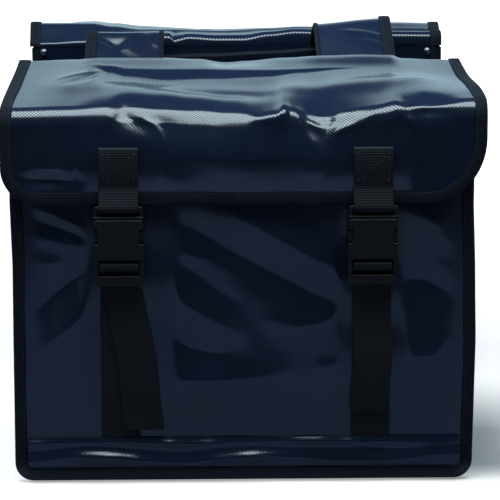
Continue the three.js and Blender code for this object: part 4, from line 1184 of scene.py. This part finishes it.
def bridgeLine(hand):  # points of the arch with their outward direction and the length so far
    reach = -bag["backY"] - 2 * bag["gap"] - bag["tape"] - bag["cloth"] / 2
    rise = bridge[hand]["crest"] - bag["cloth"] / 2 - bridge["shoulder"]
    foot = np.linspace(bridge["foot"], bridge["shoulder"], bridge["footRows"], endpoint=False)
    c = np.cos(np.radians(np.linspace(180, 0, bridge["archRows"])))
    blunt = math.sqrt(bridge["blunt"])
    slope = (np.sqrt(c * c + bridge["blunt"]) - blunt) / (math.sqrt(1 + bridge["blunt"]) - blunt)
    arch = lerp(bridge["step"], 1, 1 - slope) * fades(np.abs(c), 1, bridge["archEdge"])
    level = np.full(len(foot), reach)
    y = np.concatenate([-level, reach * c - bridge[hand]["lean"] * (1 - c * c), level])
    z = np.concatenate([foot, bridge["shoulder"] + rise * arch, foot[::-1]])
    length = runLength(np.stack([y, z], -1))
    even = np.linspace(0, length[-1], bridge["rows"])
    y, z = np.interp(even, length, y), np.interp(even, length, z)
    dy, dz = np.gradient(y), np.gradient(z)
    size = np.hypot(dy, dz)
    return y, z, -dz / size, dy / size, even


def dentDepth(dent, across, s):  # one facet of the strap is pushed in below the crest
    point = dent["top"] - dent["fall"]
    below = np.clip((point - s) / dent["tail"], 0, 1)  # runs out to one side under its point
    half = lerp(dent["tip"], dent["wide"], np.clip((s - point) / dent["fall"], 0, 1))
    half = half + dent["tailWide"] * below
    middle = dent["x"] - dent["slant"] * np.clip(s - point, 0, None) + dent["tailAside"] * below
    edge = ease((half - np.abs(across - middle)) / (dent["edge"] + dent["tailEdge"] * below))
    return dent["deep"] * fades(s, dent["top"], dent["fall"]) * (1 - ease(below)) * edge


def bridgePoint(hand, across, out, lines):
    strap = bridge[hand]
    y, z, ny, nz, s = (line[:, None] for line in lines)
    soft = bridge["wave"]
    wave = soft["out"] * np.sin(s / soft["along"] + across / soft["across"])
    wave = wave * ease(s / soft["calm"]) * fades(s, s[-1], soft["calm"]) * (1 - np.abs(across) / soft["half"])
    wave = wave + creaseField(strap["creases"], across + 0 * s, s + 0 * across)
    if strap["dent"]:
        wave = wave - dentDepth(strap["dent"], across, s)
    level = (z - bridge["shoulder"]) / (strap["crest"] - bridge["shoulder"])
    tilt = strap["tilt"] * (across / (bridge["width"] / 2) - 1) * ease(level)  # one edge hangs lower
    place = (strap["x"] + across, y + ny * (out + wave), z + nz * (out + wave) + tilt)
    return np.stack(np.broadcast_arrays(*place), -1)


def bridgePieces(hand):
    lines = bridgeLine(hand)
    half, name = bridge["width"] / 2, "bridge" + hand.upper()
    across = np.linspace(-half, half, bridge["columns"])[None]
    grid = bridgePoint(hand, across, bag["cloth"] / 2, lines)
    cut = np.stack(np.broadcast_arrays(across, lines[4][:, None]), -1)
    strap = sheetPiece(name + "Strap", grid, bag["cloth"], cut, tarpaulin, (0, 0, 1))
    outer = -1 if hand == "l" else 1
    tapes = []
    for end, sign, reach in (("Outer", outer, bridge["outerTape"]), ("Inner", -outer, bridge["innerTape"])):
        middle = bridgePoint(hand, np.full((1, 1), sign * half), 0, lines)[:, 0]
        outward = np.tile([float(sign), 0, 0], (len(middle), 1))
        normal = np.stack([np.zeros(len(middle)), lines[2], lines[3]], -1)
        section = tapeSection(bag["cloth"], reach, reach)
        tapes.append(tapePiece(name + end + "Binding", middle, outward, normal, section, "near"))
    return strap, tapes, lines[4][-1]


def bridgeSeam(hand):  # stitches in the groove of the outer tape
    y, z, ny, nz, _ = bridgeLine(hand)
    x = bridge[hand]["x"]
    x += np.sign(x) * (bridge["width"] / 2 - bridge["outerTape"] + bag["sewnIn"])
    off = bag["cloth"] / 2 + bag["gap"] + bag["sewnOver"]
    return np.stack([np.full(len(y), x), y + ny * off, z + nz * off], -1)


def tiePiece():
    tie = bridge["tie"]
    far = -bag["backY"] - 4 * bag["gap"] - 2 * bag["tape"] - bag["cloth"]
    x, y = np.meshgrid(np.linspace(-tie["reach"], tie["reach"], 80), np.linspace(far - tie["width"], far, 9),
                       indexing="ij")
    share = (x + tie["reach"]) / (2 * tie["reach"])
    z = lerp(tie["leftZ"], tie["rightZ"], share) - tie["sag"] * np.sin(math.pi * share)
    z = z + waves(x, tie["ripple"])
    cut = np.stack([y - far + tie["width"] / 2, x], -1)
    return sheetPiece("bridgeTie", np.stack([x, y, z], -1), bag["webbing"], cut, belt, (0, 0, 1))


def geometryTree(name, given, sizes, result):  # an empty tree, its inputs by name, and the keys that set them
    tree = bpy.data.node_groups.new(name, "GeometryNodeTree")
    face, keys = tree.interface, {}
    face.new_socket(given, in_out="INPUT", socket_type="NodeSocketGeometry")
    for label, value in sizes.items():
        kind = "NodeSocketInt" if isinstance(value, int) else "NodeSocketFloat"
        socket = face.new_socket(label, in_out="INPUT", socket_type=kind)
        socket.default_value = value
        keys[label] = socket.identifier
    face.new_socket(result, in_out="OUTPUT", socket_type="NodeSocketGeometry")
    nodes = Nodes(tree, tree)
    return nodes, nodes.outputs("NodeGroupInput"), keys


def sewnTree():  # stitches laid end to end along a path
    sizes = {"Pitch": 0.0042, "Length": 0.0030, "Thread": 0.0007, "Seed": 0}
    nodes, given, keys = geometryTree("sewnLine", "Path", sizes, "Stitches")
    line = nodes.add("GeometryNodeMeshToCurve", None, {"Mesh": given["Path"]})
    spaced = nodes.add("GeometryNodeResampleCurve", {"mode": "LENGTH"},
                       {"Curve": line, "Length": given["Pitch"]})
    bead = nodes.add("GeometryNodeMeshUVSphere", None, {"Segments": 6, "Rings": 5, "Radius": 0.5})
    along = nodes.add("GeometryNodeInputTangent")
    facing = nodes.add("FunctionNodeAlignRotationToVector", {"axis": "X"}, {"Vector": along})
    vary = nodes.add("FunctionNodeRandomValue", None, {2: 0.86, 3: 1.06, "Seed": given["Seed"]}, 1)
    size = nodes.add("ShaderNodeCombineXYZ", None,
                     {0: given["Length"] * vary, 1: given["Thread"], 2: given["Thread"]})
    placed = nodes.add("GeometryNodeInstanceOnPoints", None,
                       {"Points": spaced, "Instance": bead, "Rotation": facing, "Scale": size})
    real = nodes.add("GeometryNodeRealizeInstances", None, {"Geometry": placed})
    dressed = nodes.add("GeometryNodeSetMaterial", None, {"Geometry": real, "Material": thread})
    nodes.add("NodeGroupOutput", None, {"Stitches": dressed}, None)
    return nodes.tree, keys


def rivetTree():  # a domed head on a thin washer at each point
    nodes, given, _ = geometryTree("domeRivets", "Points", {"Radius": 0.0032, "Height": 0.0021}, "Rivets")
    dome = nodes.add("GeometryNodeMeshUVSphere", None, {"Segments": 28, "Rings": 14, "Radius": 1.0})
    washer = nodes.add("GeometryNodeMeshCylinder", None,
                       {"Vertices": 32, "Depth": 0.0006, "Radius": given["Radius"]})
    head = given["Radius"] * 0.86
    domeSize = nodes.add("ShaderNodeCombineXYZ", None, {0: head, 1: head, 2: given["Height"]})
    squash = nodes.add("GeometryNodeTransform", None, {"Geometry": dome, "Scale": domeSize})
    both = nodes.add("GeometryNodeJoinGeometry", None, {0: [squash, washer]})
    way = nodes.add("GeometryNodeInputNamedAttribute", {"data_type": "FLOAT_VECTOR"}, {"Name": "facing"})
    facing = nodes.add("FunctionNodeAlignRotationToVector", {"axis": "Z"}, {"Vector": way})
    placed = nodes.add("GeometryNodeInstanceOnPoints", None,
                       {"Points": given["Points"], "Instance": both, "Rotation": facing})
    real = nodes.add("GeometryNodeRealizeInstances", None, {"Geometry": placed})
    smooth = nodes.add("GeometryNodeSetShadeSmooth", None, {"Geometry": real})
    dressed = nodes.add("GeometryNodeSetMaterial", None, {"Geometry": smooth, "Material": metal})
    nodes.add("NodeGroupOutput", None, {"Rivets": dressed}, None)
    return nodes.tree


sewn, sewnKeys = sewnTree()
rivet = {"x": 178.0, "z": 316.5, "seat": 1.1}


def seamPiece(name, lines, seed):
    points, edges = [], []
    for line in lines:
        edges += [(len(points) + i, len(points) + i + 1) for i in range(len(line) - 1)]
        points += (np.asarray(line) * mm).tolist()
    mesh = bpy.data.meshes.new(name)
    mesh.from_pydata(points, edges, [])
    piece = addObject(name, mesh)
    step = piece.modifiers.new("sewn", "NODES")
    step.node_group = sewn
    step[sewnKeys["Seed"]] = seed
    settled(piece)
    smoothShade(piece.data)
    return piece


def rivetPiece():
    spots, ways = [], []
    for turn in (1, -1):
        for x in (-rivet["x"], rivet["x"]):
            spots.append((turn * x * mm, turn * (bag["backY"] + rivet["seat"]) * mm, rivet["z"] * mm))
            ways += [0.0, float(turn), 0.0]
    mesh = bpy.data.meshes.new("rivets")
    mesh.from_pydata(spots, [], [])
    mesh.attributes.new("facing", "FLOAT_VECTOR", "POINT").data.foreach_set("vector", ways)
    piece = addObject("rivets", mesh)
    piece.modifiers.new("rivets", "NODES").node_group = rivetTree()
    return settled(piece)


def edgeSeam(stations, y, face, side):  # stitches sit in the groove of the tape
    x, z, nx, nz, _ = stations.T
    away, back = seamStack / 2 + bag["gap"] + bag["sewnOver"], bag["sewnIn"] - bag["tapeReach"]
    return turned(np.stack([x + nx * back, np.full(len(x), y + face * away), z + nz * back], -1), side)


def flapSeam(side):
    middle, outward, normal = flapRim(side)
    away, back = bag["cloth"] / 2 + bag["gap"] + bag["sewnOver"], bag["sewnIn"] - bag["tapeReach"]
    return turned(middle + outward * back + normal * away, side)


def strapSeams(strap, side):  # a box with a cross sewn through the webbing on the flap
    path, _ = smoothPath(flapStrapPoints(strap))
    path = path[int(np.argmax(path[:, 2])):]
    top, low = (flapStrap["top"] - drop for drop in flapStrap["box"])
    upto = int(np.argmax(path[:, 2] < low))
    z, y = path[:upto, 2][::-1], path[:upto, 1][::-1]

    def line(x0, z0, x1, z1):
        t = np.linspace(0, 1, 30)
        height = lerp(z0, z1, t)
        over = np.interp(height, z, y) - bag["webbing"] / 2 + 0.05
        return turned(np.stack([strap["x"] + lerp(x0, x1, t), over, height], -1), side)

    w = bag["strapWidth"] / 2 - flapStrap["boxIn"]
    return [line(-w, top, w, top), line(-w, low, w, low), line(-w, top, -w, low), line(w, top, w, low),
            line(-w, top, w, low), line(w, top, -w, low)]


femaleShape, maleShape = evenShaded(femaleBuckle()), evenShaded(maleBuckle())
print("buckle shapes made")

frontEdge, backEdge = outlineStations(bag["frontTop"]), outlineStations(bag["seamTop"] - 2)
frontSeamY, backSeamY = bag["frontY"] + seamStack / 2, bag["backY"] - seamStack / 2
for side in ("near", "far"):
    panel = fit(frontPanelPiece(side), "tarpaulin", side + "_front_panel")
    wall, wallLength = gussetPiece(side)
    fit(wall, "tarpaulin", side + "_gusset")
    back = fit(backPanelPiece(side), "tarpaulin", side + "_back_panel")
    lid = fit(flapPiece(side), "tarpaulin", side + "_flap")
    strip = fit(baseStripPiece(side), "tarpaulin", side + "_base_strip")
    print(side, "cloth made")
    frontTape = fit(edgeTapePiece("FrontBinding", frontEdge, frontSeamY, -1.0, side), "edging",
                    side + "_front_binding")
    backTape = fit(edgeTapePiece("BackBinding", backEdge, backSeamY, 1.0, side), "edging",
                   side + "_back_binding")
    flapTape = fit(flapTapePiece(side), "edging", side + "_flap_binding")
    bodyLines = [edgeSeam(frontEdge, frontSeamY, -1.0, side), edgeSeam(backEdge, backSeamY, 1.0, side)]
    bodySewing = fit(seamPiece(side + "BodyStitches", bodyLines, 3), "edging")
    flapLines = [flapSeam(side)]
    print(side, "bindings sewn")
    for strap in strapRows:
        hand, width = strap["side"], bag["strapWidth"]
        drift = strap["drift"] if side == "near" else 0.0
        upperPath, lowerPath = flapStrapPoints(strap), lowerStrapPoints(strap, drift)
        upper, upperLength = webbingPiece(side + "FlapStrap" + hand.upper(), upperPath, width, side)
        lower, lowerLength = webbingPiece(side + "LowerStrap" + hand.upper(), lowerPath, width, side)
        fit(upper, "belt", side + "_flap_strap_" + hand)
        fit(lower, "belt", side + "_lower_strap_" + hand)
        width * mm
        upperLength * mm
        side + "_buckle_male_" + hand
        width * mm
        lowerLength * mm
        side + "_buckle_female_" + hand
        for half, shape in (("Female", femaleShape), ("Male", maleShape)):
            part = bucklePiece(side + "Buckle" + half + hand.upper(), shape, strap, side)
            fit(part, "buckle", side + "_buckle_" + half.lower() + "_" + hand)
        flapLines += strapSeams(strap, side)
    flapSewing = fit(seamPiece(side + "FlapStitches", flapLines, 5), "edging")
    print(side, "straps and buckles made")
    width = 2 * sides["left"][0] * mm
    2 * flap["halfFront"] * mm

for hand in ("l", "r"):
    strap, (outerTape, innerTape), length = bridgePieces(hand)
    fit(strap, "tarpaulin", "bridge_strap_" + hand)
    fit(outerTape, "edging", "bridge_binding_" + hand + "o")
    fit(innerTape, "edging", "bridge_binding_" + hand + "i")
    bridge["width"] * mm
    length * mm
fit(seamPiece("bridgeStitches", [bridgeSeam(hand) for hand in ("l", "r")], 7), "edging")
tie = fit(tiePiece(), "belt", "bridge_tie")
bridge["tie"]["width"] * mm
2 * bridge["tie"]["reach"] * mm
fit(rivetPiece(), "rivet", "near_rivet_l", "near_rivet_r", "far_rivet_l", "far_rivet_r")
for shape in (femaleShape, maleShape):
    bpy.data.objects.remove(shape)
print("bridge, tie and rivets made")

# studio: white table, large lamp overhead, bright wall behind, dark room on the camera's side
studio = {
    "tint": (0.76, 0.94, 1.0), "top": {"at": (0.0, -0.53, 1.85), "size": (2.4, 1.2), "power": 132},
    "left": {"at": (-1.7, 0.35, 1.25), "aim": (0, 0, 0.15), "size": (0.9, 0.9), "power": 26},
    "wall": 1.55, "wallTint": (0.62, 0.88, 1.0, 1), "room": 0.025, "sideWall": 0.35,
    "gap": 0.36, "gapTint": (0.09, 0.28, 1, 1), "gapY": (-0.3, 0.1), "gapZ": (0.45, 0.7),
    "wallY": (-0.15, 0.35), "wallFoot": (-0.06, 0.04), "wallTop": (0.43, 0.56),
    "sideX": (-0.95, -0.35), "sideFoot": (-0.02, 0.1), "sideTop": (0.4, 0.7),
}


def lamp(name, spec):  # straight down unless it is aimed
    light = bpy.data.lights.new(name, "AREA")
    light.shape, (light.size, light.size_y) = "RECTANGLE", spec["size"]
    light.energy, light.color = spec["power"], studio["tint"]
    holder = addObject(name, light)
    holder.location = spec["at"]
    if "aim" in spec:
        way = Vector(spec["aim"]) - Vector(spec["at"])
        holder.rotation_euler = way.to_track_quat("-Z", "Y").to_euler()
    holder.visible_camera = False


def roomLight():
    look = shading(bpy.data.worlds.new("studioRoom"))
    x, y, z = look.split(look.add("ShaderNodeTexCoord", None, None, "Generated"))
    seen = look.add("ShaderNodeLightPath", None, None, "Is Camera Ray")
    behind = y.over(*studio["wallY"]) * z.over(*studio["wallFoot"]) * (1 - z.over(*studio["wallTop"]))
    left = (1 - x.over(*studio["sideX"])) * z.over(*studio["sideFoot"]) * (1 - z.over(*studio["sideTop"]))
    level = behind * studio["wall"] + studio["room"] + left * studio["sideWall"]
    sky = z.over(*studio["gapZ"]) * y.over(*studio["gapY"]) * studio["gap"]  # dim blue between wall and lamp
    colour = look.mix(sky / (sky + level), studio["wallTint"], studio["gapTint"])
    colour = look.mix(seen, colour, (1, 1, 1, 1))
    strength = (level + sky) * (1 - seen) + seen
    glow = look.add("ShaderNodeBackground", None, {"Color": colour, "Strength": strength})
    return look.close(glow, "ShaderNodeOutputWorld")


tableTop = {
    "span": 4000.0, "level": -0.4, "pale": (0.42, 0.36, 0.345, 1), "mirrored": (0.118, 0.143, 0.24, 1),
    "dark": (0.012, 0.014, 0.02, 1), "darkFrom": (-1.06, -0.98), "near": (0.37, 0.37, 0.37, 1),
    "away": (1.1, 1.1, 1.1, 1), "awayFrom": (0.55, 1.6), "front": (-0.36, -0.25), "frontLift": 0.4,
    "shade": (0.16, 0.155, 0.15, 1), "shadeGlow": (0.02, 0.02, 0.02, 1),
    "shadeLeft": (0.12, 0.19), "shadeRight": (0.2, 0.34), "shadeFront": (-0.27, -0.19),
    "shadeBack": (-0.1, 0.14),
}


def paleTable():  # pale to the eye, dim in the bag's reflections as a cut-out studio photo is
    look = newLook("paleTable")
    rays = look.outputs("ShaderNodeLightPath")
    x, y, _ = look.split(look.spot())
    mirrored = look.mix(y.over(*tableTop["darkFrom"]), tableTop["dark"], tableTop["mirrored"])
    colour = look.mix(rays["Is Glossy Ray"], tableTop["pale"], mirrored)
    away = ((x * x + y * y) ** 0.5).over(*tableTop["awayFrom"])
    away = away + (1 - y.over(*tableTop["front"])) * tableTop["frontLift"]
    shade = x.over(*tableTop["shadeLeft"]) * (1 - x.over(*tableTop["shadeRight"]))  # soft, at the right
    shade = shade * y.over(*tableTop["shadeFront"]) * (1 - y.over(*tableTop["shadeBack"]))
    glow = look.mix(shade, look.mix(away, tableTop["near"], tableTop["away"]), tableTop["shadeGlow"])
    glow = look.mix(rays["Is Camera Ray"], (0, 0, 0, 1), glow)
    colour = look.mix(shade, colour, tableTop["shade"])
    return look.finish(Base_Color=colour, Roughness=0.9, Specular_IOR_Level=0.1, Emission_Color=glow,
                       Emission_Strength=1.0)


lamp("topLamp", studio["top"])
lamp("leftLamp", studio["left"])
scene.world = roomLight()
tableCorners = np.array([(-1, -1, 0), (1, -1, 0), (1, 1, 0), (-1, 1, 0)]) * tableTop["span"]
table = makePiece("studioTable", tableCorners + (0, 0, tableTop["level"]), [(0, 1, 2, 3)], paleTable())

view = {"at": (-0.0475, -2.340, 0.6551), "down": 12.303, "right": 1.434, "lens": 188.7, "sensor": 36,
        "end": 50}
camera = addObject("photoCamera", bpy.data.cameras.new("photoCamera"))
camera.location = view["at"]
camera.rotation_euler = (math.radians(90 - view["down"]), 0, math.radians(-view["right"]))
camera.data.lens, camera.data.sensor_width, camera.data.clip_end = view["lens"], view["sensor"], view["end"]
scene.camera = camera
scene.view_settings.view_transform = "Standard"
print("studio ready")
